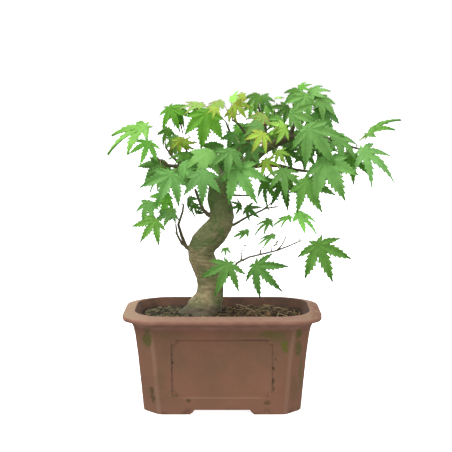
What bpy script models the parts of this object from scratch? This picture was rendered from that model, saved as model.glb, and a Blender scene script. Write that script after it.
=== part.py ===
"""Japanese maple bonsai in a rectangular unglazed clay pot, with soil, wire and leaves."""

import math

import bmesh
import bpy
from mathutils import Matrix, Vector
from mathutils.bvhtree import BVHTree

# ---------------------------------------------------------------- driving dimensions, in mm
MM = 0.001
GAP = 0.35  # clearance between neighbouring pieces

# pot, outside
POT_WIDTH = 205.0  # over the lip, along X
POT_DEPTH = 120.0  # over the lip, along Y
POT_HEIGHT = 105.0
LIP_OUT = 11.3  # how far the lip stands out over the body
LIP_CUT = 21.0  # corner cut of the lip
LIP_SOFT = 14.0  # rounding of the lip's corners
LIP_FALL = 2.5  # how far the lip's top slopes down to its outer edge
LIP_FACE = 5.0  # height of the lip's outer face
COVE = 7.5  # height of the hollow curve under the lip
TAPER_TOP = 4.1  # how far each side comes in from the body's top to its waist
TAPER_LOW = 5.2  # and from there to the foot
WAIST_DROP = 45.0  # height of the mouth over that waist
BODY_CUT = 17.5
BASE_CUT = 16.6
BODY_SOFT = 4.5
# pot, inside
LIP_SIDE = 12.6  # width of the lip's top at the two ends
LIP_FRONT = 9.8  # and at the front and the back
MOUTH_CUT = 19.0
MOUTH_SOFT = 13.0
WALL = 7.5  # wall thickness under the lip
WALL_CUT = 13.6
FLOOR_IN = 6.5  # wall thickness at the floor
FLOOR_CUT = 12.6
FLOOR_THICK = 7.8
# feet, panel, holes
FOOT_HEIGHT = 5.2
ARCH_TOP_HALF = 28.3  # half width of the cut-out between the front feet, at its top
ARCH_FOOT_HALF = 33.3
SIDE_ARCH_TOP_HALF = 13.0
SIDE_ARCH_FOOT_HALF = 16.5
SIDE_ARCH_HEIGHT = 4.8
PANEL_IN = 51.0  # from the lip's end to the panel
PANEL_LOW = 18.4  # lower edge of the panel over the ground
PANEL_DROP = 25.0  # from the mouth down to its upper edge
PANEL_SINK = 1.4
PANEL_NOTCH = 5.0
DRAIN_X = 45.0
DRAIN_R = 7.0
WIRE_HOLE_R = 2.2
CHIP_BACK = 33.0  # from the lip's front to the chip in its right end
CHIP_SIZE = (6.0, 8.0, 6.0)

lip_top = POT_HEIGHT - LIP_FALL
lip_low = lip_top - LIP_FACE
BODY_TOP_Z = lip_low - COVE
BODY_TOP_W = POT_WIDTH - 2.0 * LIP_OUT
BODY_TOP_D = POT_DEPTH - 2.0 * LIP_OUT
WAIST_Z = POT_HEIGHT - WAIST_DROP
WAIST_W = BODY_TOP_W - 2.0 * TAPER_TOP
WAIST_D = BODY_TOP_D - 2.0 * TAPER_TOP
BASE_W = WAIST_W - 2.0 * TAPER_LOW
BASE_D = WAIST_D - 2.0 * TAPER_LOW
MOUTH_W = POT_WIDTH - 2.0 * LIP_SIDE
MOUTH_D = POT_DEPTH - 2.0 * LIP_FRONT
WALL_Z = BODY_TOP_Z + 4.0
WALL_W = BODY_TOP_W - 2.0 * WALL
WALL_D = BODY_TOP_D - 2.0 * WALL
FLOOR_Z = FOOT_HEIGHT + FLOOR_THICK
FLOOR_W = BASE_W - 2.0 * FLOOR_IN
FLOOR_D = BASE_D - 2.0 * FLOOR_IN
PANEL_W = POT_WIDTH - 2.0 * PANEL_IN
PANEL_TOP = POT_HEIGHT - PANEL_DROP
CHIP_AT = (POT_WIDTH / 2.0 + 1.9, CHIP_BACK - POT_DEPTH / 2.0, lip_top - 1.5)
# drainage mesh
MESH_SIDE = 26.0
MESH_THICK = 1.0
MESH_HOLE = 3.2
MESH_PITCH = 4.8
# soil
SOIL_DROP = 10.4  # from the mouth down to the soil at the wall
SOIL_RISE_MID = 3.0
SOIL_RISE_CROWN = 4.8
SOIL_CENTRE = (-14.0, 0.0)
SOIL_EDGE_Z = POT_HEIGHT - SOIL_DROP
# the tree stands in the soil: its own points are given for soil that meets the wall at this height
TREE_SOIL_Z = 93.6
LIFT = SOIL_EDGE_Z - TREE_SOIL_Z
# anchor wire
WIRE_R = 0.8
WIRE_LOW = FOOT_HEIGHT / 2.0
TRUNK_FRONT = 20.8  # from the trunk's middle to its front where the wire passes
WIRE_SHARE = 0.223  # how far the wire's front leg stands from there towards the wall
WIRE_FRONT = -(TRUNK_FRONT + (FLOOR_D / 2.0 - TRUNK_FRONT) * WIRE_SHARE)
WIRE_PATH = (
    (-5.0, WIRE_FRONT + 1.5, WIRE_LOW),
    (-12.0, WIRE_FRONT, WIRE_LOW),
    (-12.0, WIRE_FRONT, 60.0),
    (-12.0, WIRE_FRONT, 92.0 + LIFT),
    (-10.5, WIRE_FRONT + 0.5, 98.5 + LIFT),
    (-5.0, -20.5, 102.0 + LIFT),
    (3.0, -16.0, 101.5 + LIFT),
    (9.5, -12.5, 98.0 + LIFT),
    (12.5, -11.0, 92.0 + LIFT),
    (13.0, -11.0, 60.0),
    (13.0, -11.0, WIRE_LOW),
    (6.0, -12.5, WIRE_LOW),
)
# leaves
BLADE_HALF = 0.75  # half thickness of a blade where its lobes meet
PETIOLE_R = 0.5
LEAF_DROOP = 0.42  # fall of the lobe tips, as a share of the blade's length
LEVEL_DROOP = 0.18  # the same for a blade that is held level
LEVEL_ROLL = 50.0  # a blade rolled further than this is held level

# one side of a leaf's outline: angle from the middle lobe, share of the blade's length
OUTLINE = (
    (11.0, 0.62),
    (24.0, 0.28),
    (32.0, 0.55),
    (43.0, 0.92),
    (54.0, 0.50),
    (64.0, 0.25),
    (82.0, 0.60),
    (102.0, 0.18),
    (128.0, 0.24),
)
LEAF_BASE = 0.12  # the notch where the stalk joins, same share

# ---------------------------------------------------------------- wood: (x, y, z, radius) in mm
TRUNK = (
    (-19.2, 0.0, 76.0, 17.5),
    (-19.8, -1.0, 90.0, 20.6),
    (-18.0, 0.0, 104.0, 19.0),
    (-14.6, 0.0, 111.0, 15.8),
    (-12.9, 0.0, 118.0, 14.3),
    (-12.2, 0.0, 128.0, 14.0),
    (-13.8, 0.0, 138.0, 13.9),
    (-18.0, 0.0, 148.0, 13.8),
    (-21.6, 0.0, 157.0, 13.8),
    (-21.8, 0.0, 164.5, 14.6),
    (-18.4, 0.0, 171.5, 14.5),
    (-12.6, 0.0, 178.0, 14.3),
    (-6.6, 0.0, 184.5, 14.0),
    (-1.9, 0.0, 191.0, 13.0),
    (0.1, 0.0, 199.0, 12.4),
    (-1.0, 0.0, 208.0, 12.5),
    (-3.9, 0.0, 217.5, 12.1),
    (-3.2, 0.0, 227.0, 11.4),
    (4.5, 1.0, 236.0, 10.2),
    (15.0, 2.0, 245.0, 8.4),
    (28.0, 2.0, 256.0, 6.8),
    (41.0, 1.0, 267.0, 5.2),
    (56.0, 0.0, 275.0, 4.2),
    (72.0, -1.0, 281.0, 3.2),
)
# the roots are drawn for a pot of this size inside, and spread out with it
ROOT_ROOM_W = 167.4
ROOT_ROOM_D = 82.4
ROOT_CENTRE_X = -19.0
ROOTS = (
    ((-20, 0, 107, 12), (-33, -3, 98, 9), (-46, -5, 90.5, 6.5), (-59, -7, 81, 4)),
    ((-12, 3, 98, 9), (4, 6, 86, 6), (20, 8, 77, 4), (34, 10, 70, 2.6)),
    ((-21, -6, 103, 10), (-25, -17, 93, 7), (-29, -26, 82, 4.2)),
    ((-15, 6, 103, 10), (-10, 17, 93.4, 7), (-7, 26, 82, 4)),
    ((-24, 5, 103, 9), (-38, 14, 92, 6), (-50, 21, 80, 3.4)),
)
# every branch starts inside its parent
BRANCHES = {
    "left_main": ((-4, 0, 227, 6.5), (-18, 2, 243, 4.6), (-40, 3, 250, 2.8), (-57, 1, 252, 1.6), (-66, -2, 259, 1.0)),
    "left_up": ((-40, 3, 250, 1.8), (-52, 5, 261, 1.2), (-59, 6, 271, 0.8)),
    "left_mid": ((-28, 2.5, 246, 2.2), (-36, 6, 262, 1.3), (-38, 6, 273, 0.8)),
    "left_front": ((-16, 1, 241, 3.2), (-27, -10, 247, 2.0), (-33, -20, 250, 1.2)),
    "front": ((4, 0, 238, 4.0), (7, -14, 246, 2.2), (6, -24, 251, 1.3)),
    "spur": ((-1, -6, 219, 2.2), (3, -12.5, 221, 1.4)),
    "stub": ((2, -4, 222, 2.0), (14, -6, 221.6, 1.1), (30, -6, 221.2, 0.8)),
    "collar": ((-4, -2, 198, 3.4), (-15, -3, 201.5, 2.5), (-20, -4, 207, 1.9), (-24, -4, 217, 1.6), (-28, -4, 228, 1.3)),
    "knot_long": ((-26, -2, 165, 3.0), (-37, -3, 167, 2.2), (-42, -3, 179, 1.7), (-45.4, -3, 191, 1.4),
                  (-41, -2, 204, 1.1), (-40, -1, 212, 0.9)),
    "knot_short": ((-35, -5, 165.5, 1.6), (-42, -7, 172, 1.4), (-46.5, -8, 181, 1.1), (-48, -7, 192, 0.8)),
    "right_upper": ((2, -2, 187, 2.6), (12, -3, 190.7, 1.5), (25.5, -5, 199, 1.15), (37.3, -6, 204.4, 1.0),
                    (44.6, -6, 208, 0.85), (57.7, -6, 210, 0.7)),
    "right_upper_twig": ((42, -6, 207, 0.8), (48, -8, 212, 0.65), (54, -9, 217, 0.6)),
    "right_lower": ((-4, -2, 129, 2.8), (3, -4, 135, 1.9), (9, -8, 143, 1.4), (16, -11, 152.5, 1.15), (28, -13, 158.5, 1.0),
                    (40, -14, 161.5, 0.95), (57, -16, 166, 0.85), (69, -17, 171, 0.75), (80, -18, 176, 0.7)),
    "right_lower_twig": ((56, -16, 165.8, 0.8), (61, -15, 171, 0.7), (65, -13, 178, 0.6)),
    "spur_near": ((19.5, -11.8, 154.4, 0.9), (19.6, -11, 162, 0.65)),
    "spur_far": ((39, -14, 161.2, 0.85), (39.6, -14, 166.5, 0.65)),
    "right_end": ((70, -1, 280.4, 3.0), (90, -8, 283, 2.3), (112, -10, 279, 1.7), (130, -8, 272, 1.2), (141, -6, 269, 0.9)),
    "apex": ((69, -1, 280, 2.6), (76, 2, 299, 1.8), (79, 1, 316, 1.3), (81, -1, 326, 0.9)),
    "apex_right": ((78.4, 1.5, 312, 1.2), (89, -1, 316, 1.0), (97, -4, 315, 0.8)),
    "high_mid": ((42, 1, 267.5, 3.0), (45, 6, 288, 1.8), (40, 5, 303, 1.3), (37, 3, 312, 0.9)),
    "high_right": ((56, 0, 275, 2.4), (55, 4, 294, 1.4), (54, 3, 307, 0.9)),
    "high_left": ((22, 2, 252, 3.2), (13, 6, 275, 1.7), (7, 6, 288, 1.2), (4, 4, 296, 0.9)),
    "high_left_b": ((33, 2, 260.6, 2.8), (24, 4, 285, 1.5), (17, 3, 294, 1.1), (10, 2, 299, 0.9)),
    "front_mid": ((40, 1, 266, 3.0), (43, -10, 272, 1.6), (43, -19, 276, 0.9)),
    "low_right": ((20, 2, 250.5, 4.0), (40, -1, 252, 2.4), (59, -4, 252, 1.9), (75, -8, 248, 1.6), (90, -12, 246.5, 1.2),
                  (101, -16, 244, 0.9)),
    "back_left": ((-36, 3, 250.5, 2.4), (-48, 18, 256, 1.5), (-53, 32, 258, 0.9)),
    "back_mid": ((2, 2, 236, 4.0), (-6, 20, 250, 2.2), (-12, 36, 258, 1.0)),
    "back_right": ((28, 2, 257, 4.0), (36, 20, 268, 2.0), (39, 36, 272, 1.0)),
    "back_end": ((92, -8, 283, 1.8), (99, 12, 285, 1.4), (103, 28, 284, 0.9)),
}

# ---------------------------------------------------------------- leaves
# group name: (branch, share of the branch's length, leaves)
# a leaf: x, y, z of the blade's base, aim in the front view (degrees from +X), lean towards the
# front, roll of the upper face, length of the middle lobe; all in mm and degrees
LEAVES = {
    "left_outer": ("left_up", 1.0, ((-78, -20, 293, -155, 10, 68, 46), (-54, 0, 311, -62, 22, -10, 24),
                                    (-50, 8, 306, -35, 10, -30, 16))),
    "left_light": ("left_main", 1.0, ((-75, -12, 277, -108, 22, 0, 24), (-63, -18, 251, -152, 10, 55, 17))),
    "left_low_tip": ("left_main", 0.9, ((-60, -8, 245, -138, 5, 70, 24),)),
    "left_high": ("left_mid", 1.0, ((-47, 10, 311, -70, 10, 10, 18), (-40, 6, 287, -56, 5, 74, 27))),
    "left_curled_a": ("left_up", 0.75, ((-53, 0, 277, -118, 0, 35, 13), (-55, 12, 288, -128, 5, 30, 18))),
    "left_curled_b": ("left_mid", 0.8, ((-43, 2, 279, -95, 5, 0, 17), (-40, -7, 277, -52, 5, 40, 15))),
    "left_behind": ("left_up", 0.5, ((-48, 10, 289, -85, 10, -10, 13),)),
    "big_top_left": ("high_left", 1.0, ((-16, -16, 306, -98, 25, 0, 33), (-21, 8, 314, 180, 0, 72, 26))),
    "top_left_young": ("high_left", 0.85, ((0, -2, 316, -168, 5, 62, 19), (-7, -28, 312, -100, 40, 0, 12))),
    "top_yellow": ("high_left_b", 1.0, ((14, -10, 316, -55, 20, 0, 18), (10, -6, 308, -115, 10, 30, 13),
                                        (22, -12, 324, -152, 5, 40, 11))),
    "top_light": ("high_left_b", 0.8, ((9, 4, 319, 36, 5, -60, 17), (18, 16, 289, -150, 0, 20, 11))),
    "under_top_left": ("high_left", 0.6, ((-24, 18, 309, -150, -5, 25, 15),)),
    "mid_left_front": ("left_front", 1.0, ((-50, -50, 247, -116, 36, 0, 33), (-15, -42, 269, -108, 38, 10, 29))),
    "mid_left_inner": ("left_front", 0.8, ((-42, -32, 259, -55, 30, 0, 21), (-35, -8, 263, 178, 0, 65, 19),
                                           (-30, -18, 254, -72, 20, 10, 22))),
    "front_pair": ("front", 1.0, ((8, -46, 270, -100, 38, 0, 26), (27, -38, 277, -162, 20, 45, 25))),
    "front_right": ("front", 0.85, ((28, -30, 274, -62, 28, 0, 20), (0, -12, 268, 175, -5, 60, 18),
                                    (12, -2, 284, -120, 15, 10, 16))),
    "front_large": ("front", 0.6, ((15, -50, 253, -62, 32, 0, 37),)),
    "front_spur": ("spur", 1.0, ((-19, -46, 249, -90, 38, 0, 29),)),
    "knot_pair": ("knot_long", 1.0, ((-56, -4, 220, -152, 10, 30, 26), (-74, -16, 215, -121, 15, 35, 22))),
    "knot_low": ("knot_short", 0.62, ((-68, -24, 198, -127, 20, 10, 25),)),
    "knot_small": ("knot_short", 1.0, ((-50, -12, 207, -158, 5, 62, 24), (-51, 2, 202, -92, 5, 0, 9))),
    "collar": ("collar", 0.72, ((-33, 6, 218, -87, 5, 60, 20), (-29, 10, 210, -80, 10, 0, 11),
                                (-26, 12, 202, -10, 0, 50, 10))),
    "right_upper_dark": ("right_upper", 0.6, ((19, -8, 212, -160, 30, 0, 13), (25, -15, 210, -40, 32, 0, 16))),
    "high_mid_pair": ("high_mid", 1.0, ((37, -6, 323, -152, 15, 40, 18), (41, 4, 322, -38, 12, -30, 17))),
    "high_mid_pale": ("high_mid", 0.85, ((32, 18, 314, -110, 5, 10, 16), (48, 20, 313, -95, 5, -10, 17))),
    "high_mid_fold": ("high_mid", 0.55, ((42, -28, 303, -158, 20, 45, 21), (37, -38, 296, -160, 18, 40, 20))),
    "high_bud": ("high_right", 1.0, ((56, 2, 316, -100, 0, 10, 9), (59, -16, 300, -150, 18, 25, 17),
                                     (55, 8, 321, 12, 0, -78, 9))),
    "lime_front": ("front_mid", 1.0, ((40, -46, 287, -125, 30, 10, 21), (62, -28, 293, -165, 20, 25, 21))),
    "lime_low": ("front_mid", 0.8, ((56, -34, 269, -60, 20, 0, 15), (43, -28, 259, -60, 20, 0, 19))),
    "apex_sprig": ("apex", 1.0, ((79, 0, 331, 25, 0, -55, 13), (77, -6, 328, -155, 10, 45, 18))),
    "apex_left": ("apex", 0.85, ((84, -20, 323, -130, 28, 15, 24), (90, -2, 326, 16, 5, -55, 20))),
    "apex_centre": ("apex", 0.55, ((69, -36, 306, -14, 22, -12, 27), (87, 12, 303, -82, 10, 10, 14),
                                   (66, -12, 311, -150, 15, 20, 19))),
    "apex_right_a": ("apex_right", 1.0, ((99, -8, 320, -34, 12, -42, 23), (94, 4, 325, -78, 30, 0, 18))),
    "apex_right_b": ("apex_right", 0.8, ((99, -12, 309, -50, 10, -38, 33), (94, 8, 302, -80, 5, 0, 13))),
    "right_large": ("right_end", 0.3, ((85, -48, 292, -48, 30, -15, 40), (85, -14, 276, -172, 10, 45, 21))),
    "right_second": ("right_end", 0.55, ((115, -26, 282, -32, 12, -48, 31), (92, -26, 276, -58, 20, -10, 21))),
    "right_tip_low": ("right_end", 1.0, ((142, -18, 268, -26, 14, -45, 41), (133, -16, 262, -94, 14, 12, 27))),
    "right_tip_high": ("right_end", 0.93, ((149, -2, 284, 40, 0, -82, 36), (147, -6, 284, -168, 0, 78, 18))),
    "right_tip_back": ("right_end", 0.85, ((133, 10, 263, -150, 0, 35, 15), (126, 16, 258, -95, 0, 10, 18))),
    "right_under": ("right_end", 0.12, ((63, -20, 269, -20, 15, -42, 25), (86, 4, 265, -95, 10, 5, 19))),
    "low_right_big": ("low_right", 1.0, ((101, -48, 260, -60, 34, -8, 39),)),
    "low_right_mid": ("low_right", 0.72, ((82, -46, 240, -63, 22, 0, 33), (72, 14, 240, -90, 0, 0, 15))),
    "low_right_in": ("low_right", 0.48, ((61, -38, 250, -85, 30, 0, 27), (60, -16, 236, -68, 8, -15, 29))),
    "low_right_dark": ("low_right", 0.25, ((44, -12, 239, -97, 6, 62, 32),)),
    "branch_tip": ("right_lower", 1.0, ((97, -24, 174, -66, 14, 0, 41), (77, -18, 204, -36, 10, -62, 28))),
    "branch_twig": ("right_lower_twig", 1.0, ((70, -8, 199, -162, 0, 78, 19), (64, -4, 187, -100, 0, 0, 8))),
    "branch_mid": ("right_lower", 0.68, ((49, -14, 196, -146, 5, 66, 21), (58, -14, 175, -157, 0, 78, 20))),
    "branch_spur_far": ("spur_far", 1.0, ((52, -22, 183, -155, 3, 78, 21),)),
    "branch_spur_near": ("spur_near", 1.0, ((26, -10, 185, -163, 0, 72, 17), (24, -18, 172, -95, 12, 0, 8),
                                            (3, -14, 168, -85, 50, 0, 9.5))),
    "branch_low": ("right_lower", 0.3, ((6, -38, 156, -112, 26, 6, 33), (34, -36, 154, -45, 20, 0, 35))),
    "back_left": ("back_left", 1.0, ((-64, 50, 250, -140, -15, 150, 30), (-44, 52, 246, -70, -15, 190, 28),
                                     (-54, 34, 270, -100, -10, 170, 20))),
    "back_mid": ("back_mid", 1.0, ((-24, 56, 256, -125, -15, 170, 32), (4, 56, 254, -60, -15, 190, 30),
                                   (-10, 40, 272, -90, -30, 180, 22))),
    "back_right": ("back_right", 1.0, ((30, 58, 288, -115, -15, 170, 32), (58, 56, 284, -50, -15, 190, 32),
                                       (44, 42, 302, -90, -30, 180, 24))),
    "back_end": ("back_end", 1.0, ((98, 46, 294, -75, -15, 185, 26), (82, 48, 282, -115, -15, 170, 28),
                                   (106, 34, 272, -60, -10, 200, 22))),
}

COLOURS = {
    "clay": (0.22, 0.105, 0.065, 1.0),
    "soil": (0.12, 0.10, 0.07, 1.0),
    "bark": (0.17, 0.17, 0.08, 1.0),
    "leaf": (0.15, 0.38, 0.09, 1.0),
    "mesh": (0.03, 0.03, 0.03, 1.0),
    "wire": (0.06, 0.05, 0.045, 1.0),
}

# ---------------------------------------------------------------- scene set-up
for old in list(bpy.data.objects):
    bpy.data.objects.remove(old, do_unlink=True)

PARTS = bpy.data.collections.new("bonsai_tree_in_pot")
bpy.context.scene.collection.children.link(PARTS)
CUTTERS = bpy.data.collections.new("cutters")
bpy.context.scene.collection.children.link(CUTTERS)


def material(name, colour, roughness, metallic=0.0):
    mat = bpy.data.materials.new(name)
    mat.use_nodes = True
    shader = mat.node_tree.nodes["Principled BSDF"]
    shader.inputs["Base Color"].default_value = colour
    shader.inputs["Roughness"].default_value = roughness
    shader.inputs["Metallic"].default_value = metallic
    return mat


def mesh_object(name, mesh, collection=CUTTERS):
    obj = bpy.data.objects.new(name, mesh)
    collection.objects.link(obj)
    if collection is CUTTERS:
        obj.hide_render = True
        obj.display_type = "WIRE"
    return obj


def tube(name, points, sides_step, grow=0.0, stretch=0.0):
    """A tapered round bar through points (x, y, z, radius), closed at both ends."""
    curve = bpy.data.curves.new(name, "CURVE")
    curve.dimensions = "3D"
    curve.bevel_depth = MM
    curve.bevel_resolution = sides_step
    curve.use_fill_caps = True
    curve.twist_mode = "MINIMUM"
    path = [list(map(float, p)) for p in points]
    if stretch:
        for end, inner in ((-1, -2), (0, 1)):
            step = Vector(path[end][:3]) - Vector(path[inner][:3])
            moved = Vector(path[end][:3]) + step.normalized() * stretch
            path[end][:3] = list(moved)
    spline = curve.splines.new("POLY")
    spline.points.add(len(path) - 1)
    for point, (x, y, z, r) in zip(spline.points, path):
        point.co = (x * MM, y * MM, z * MM, 1.0)
        point.radius = r + grow
    source = bpy.data.objects.new(name + "_curve", curve)
    CUTTERS.objects.link(source)
    bpy.context.view_layer.update()
    graph = bpy.context.evaluated_depsgraph_get()
    mesh = bpy.data.meshes.new_from_object(source.evaluated_get(graph))
    bpy.data.objects.remove(source, do_unlink=True)
    shape = bmesh.new()
    shape.from_mesh(mesh)
    bmesh.ops.remove_doubles(shape, verts=shape.verts, dist=1e-6)
    bmesh.ops.recalc_face_normals(shape, faces=shape.faces)
    shape.to_mesh(mesh)
    shape.free()
    return mesh


def combine(target, tool, operation):
    """Apply an exact Boolean of one object with another and drop the tool."""
    step = target.modifiers.new("step", "BOOLEAN")
    step.operation = operation
    step.solver = "EXACT"
    step.object = tool
    bpy.context.view_layer.update()
    graph = bpy.context.evaluated_depsgraph_get()
    result = bpy.data.meshes.new_from_object(target.evaluated_get(graph))
    target.modifiers.clear()
    target.data = result
    bpy.data.objects.remove(tool, do_unlink=True)


def closed_shape(mesh):
    """The mesh welded and triangulated, if every edge of it then has two faces."""
    for weld in (3e-6, 1e-6, 3e-7, 1e-7):
        shape = bmesh.new()
        shape.from_mesh(mesh)
        bmesh.ops.remove_doubles(shape, verts=shape.verts, dist=weld)
        bmesh.ops.dissolve_degenerate(shape, edges=shape.edges, dist=weld)
        bmesh.ops.triangulate(shape, faces=shape.faces)
        bmesh.ops.recalc_face_normals(shape, faces=shape.faces)
        if shape.faces and all(len(edge.link_faces) == 2 for edge in shape.edges):
            return shape
        shape.free()
    return None


def one_body(mesh):
    """Whether a mesh closes and hangs together as a single body."""
    shape = closed_shape(mesh)
    if shape is None:
        return False
    seen = {shape.faces[:][0]}
    stack = list(seen)
    while stack:
        for edge in stack.pop().edges:
            for face in edge.link_faces:
                if face not in seen:
                    seen.add(face)
                    stack.append(face)
    whole = len(seen) == len(shape.faces)
    shape.free()
    return whole


def finish(obj, mat, collection=PARTS):
    """Weld, triangulate and file a finished piece."""
    shape = closed_shape(obj.data)
    if shape is None:
        print(obj.name, "stays open")
    else:
        shape.to_mesh(obj.data)
        shape.free()
    obj.data.materials.clear()
    obj.data.materials.append(mat)
    for holder in list(obj.users_collection):
        holder.objects.unlink(obj)
    collection.objects.link(obj)
    obj.hide_render = False
    obj.display_type = "TEXTURED"
    return obj


def box(name, centre, size):
    mesh = bpy.data.meshes.new(name)
    shape = bmesh.new()
    bmesh.ops.create_cube(shape, size=1.0)
    bmesh.ops.scale(shape, vec=[s * MM for s in size], verts=shape.verts)
    bmesh.ops.translate(shape, vec=[c * MM for c in centre], verts=shape.verts)
    shape.to_mesh(mesh)
    shape.free()
    return mesh_object(name, mesh)


def cylinder(name, centre, radius, height, sides):
    mesh = bpy.data.meshes.new(name)
    shape = bmesh.new()
    bmesh.ops.create_cone(
        shape, cap_ends=True, segments=sides,
        radius1=radius * MM, radius2=radius * MM, depth=height * MM,
    )
    bmesh.ops.translate(shape, vec=[c * MM for c in centre], verts=shape.verts)
    shape.to_mesh(mesh)
    shape.free()
    return mesh_object(name, mesh)


def section(width, depth, cut, soft, z):
    """A rectangle with cut corners, each corner of it rounded, as a ring of points."""
    a = width / 2.0
    b = depth / 2.0
    corners = [
        (a, b - cut), (a - cut, b), (-a + cut, b), (-a, b - cut),
        (-a, -b + cut), (-a + cut, -b), (a - cut, -b), (a, -b + cut),
    ]
    ring = []
    for i, corner in enumerate(corners):
        here = Vector(corner)
        first = here + (Vector(corners[i - 1]) - here).normalized() * soft
        last = here + (Vector(corners[(i + 1) % 8]) - here).normalized() * soft
        for t in (0.0, 1.0 / 3.0, 2.0 / 3.0, 1.0):
            spot = first * (1.0 - t) ** 2 + here * (2.0 * t * (1.0 - t)) + last * t * t
            ring.append(Vector((spot.x * MM, spot.y * MM, z * MM)))
    return ring


def loft(name, rings):
    """A closed body through a run of rings with equal point counts, capped at both ends."""
    shape = bmesh.new()
    loops = [[shape.verts.new(p) for p in ring] for ring in rings]
    count = len(loops[0])
    for low, high in zip(loops, loops[1:]):
        for i in range(count):
            j = (i + 1) % count
            shape.faces.new((low[i], low[j], high[j], high[i]))
    shape.faces.new(list(reversed(loops[0])))
    shape.faces.new(loops[-1])
    bmesh.ops.recalc_face_normals(shape, faces=shape.faces)
    mesh = bpy.data.meshes.new(name)
    shape.to_mesh(mesh)
    shape.free()
    return mesh_object(name, mesh)


def prism(name, outline, thickness):
    """A flat outline in X and Y, made solid along Z."""
    curve = bpy.data.curves.new(name, "CURVE")
    curve.dimensions = "2D"
    curve.fill_mode = "BOTH"
    curve.extrude = thickness * MM / 2.0
    spline = curve.splines.new("POLY")
    spline.use_cyclic_u = True
    spline.points.add(len(outline) - 1)
    for point, (x, y) in zip(spline.points, outline):
        point.co = (x * MM, y * MM, 0.0, 1.0)
    source = bpy.data.objects.new(name + "_curve", curve)
    CUTTERS.objects.link(source)
    bpy.context.view_layer.update()
    graph = bpy.context.evaluated_depsgraph_get()
    mesh = bpy.data.meshes.new_from_object(source.evaluated_get(graph))
    bpy.data.objects.remove(source, do_unlink=True)
    shape = bmesh.new()
    shape.from_mesh(mesh)
    bmesh.ops.remove_doubles(shape, verts=shape.verts, dist=1e-6)
    bmesh.ops.recalc_face_normals(shape, faces=shape.faces)
    shape.to_mesh(mesh)
    shape.free()
    return mesh_object(name, mesh)


CLAY = material("clay", COLOURS["clay"], 0.85)
SOIL = material("soil", COLOURS["soil"], 0.95)
BARK = material("bark", COLOURS["bark"], 0.8)
LEAF = material("leaf", COLOURS["leaf"], 0.45)
MESH = material("mesh", COLOURS["mesh"], 0.5)
WIRE = material("wire", COLOURS["wire"], 0.4, 0.9)

# ---------------------------------------------------------------- pot
body_rings = [
    section(BASE_W - 1.6, BASE_D - 1.6, BASE_CUT, BODY_SOFT, 0.0),
    section(BASE_W, BASE_D, BASE_CUT, BODY_SOFT, 0.9),
    section(WAIST_W, WAIST_D, BODY_CUT, BODY_SOFT, WAIST_Z),
    section(BODY_TOP_W - 3.2, BODY_TOP_D - 3.2, BODY_CUT, BODY_SOFT, BODY_TOP_Z - 8.0),
    section(BODY_TOP_W, BODY_TOP_D, BODY_CUT, BODY_SOFT, BODY_TOP_Z),
]
for out, rise, soft in ((0.13, 0.44, 5.5), (0.34, 0.72, 6.5), (0.62, 0.90, 8.0), (0.86, 0.99, 8.8)):
    wide = 2.0 * LIP_OUT * out
    cut = BODY_CUT + (LIP_CUT - BODY_CUT) * out
    body_rings.append(section(BODY_TOP_W + wide, BODY_TOP_D + wide, cut, soft, BODY_TOP_Z + COVE * rise))
body_rings += [
    section(POT_WIDTH - 0.9, POT_DEPTH - 0.9, LIP_CUT, LIP_SOFT, lip_low + 1.0),
    section(POT_WIDTH, POT_DEPTH, LIP_CUT, LIP_SOFT, lip_low + 2.2),
    section(POT_WIDTH - 0.1, POT_DEPTH - 0.1, LIP_CUT, LIP_SOFT, lip_top - 1.4),
    section(POT_WIDTH - 1.1, POT_DEPTH - 1.1, LIP_CUT, LIP_SOFT, lip_top - 0.3),
    section(POT_WIDTH - 3.2, POT_DEPTH - 3.2, LIP_CUT, LIP_SOFT, lip_top + 0.3),
    section(MOUTH_W + 3.0, MOUTH_D + 3.0, MOUTH_CUT + 0.8, MOUTH_SOFT, POT_HEIGHT),
]
pot = loft("pot", body_rings)
inner_rings = [
    section(FLOOR_W - 4.0, FLOOR_D - 4.0, FLOOR_CUT, BODY_SOFT, FLOOR_Z),
    section(FLOOR_W, FLOOR_D, FLOOR_CUT, BODY_SOFT, FLOOR_Z + 2.5),
    section(WALL_W, WALL_D, WALL_CUT, BODY_SOFT, WALL_Z),
    section(MOUTH_W - 1.6, MOUTH_D - 1.6, MOUTH_CUT, MOUTH_SOFT, POT_HEIGHT - 1.5),
    section(MOUTH_W + 3.0, MOUTH_D + 3.0, MOUTH_CUT + 0.8, MOUTH_SOFT, POT_HEIGHT + 1.5),
]
combine(pot, loft("hollow", inner_rings), "DIFFERENCE")


def arch(name, top_half, foot_half, height):
    """A cut-out with S-shaped ends, lying along Y."""
    side = [
        (foot_half + 0.5, -height * 0.4), (foot_half - 1.2, height * 0.23),
        (top_half + 1.8, height * 0.5), (top_half + 0.8, height * 0.8), (top_half, height),
    ]
    outline = side + [(-x, y) for x, y in reversed(side)]
    return prism(name, outline, 200.0)


front_arch = arch("front_arch", ARCH_TOP_HALF, ARCH_FOOT_HALF, FOOT_HEIGHT)
front_arch.data.transform(Matrix.Rotation(math.radians(90.0), 4, "X"))
combine(pot, front_arch, "DIFFERENCE")
side_arch = arch("side_arch", SIDE_ARCH_TOP_HALF, SIDE_ARCH_FOOT_HALF, SIDE_ARCH_HEIGHT)
turn = Matrix.Rotation(math.radians(90.0), 4, "Z") @ Matrix.Rotation(math.radians(90.0), 4, "X")
side_arch.data.transform(turn)
combine(pot, side_arch, "DIFFERENCE")

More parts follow.
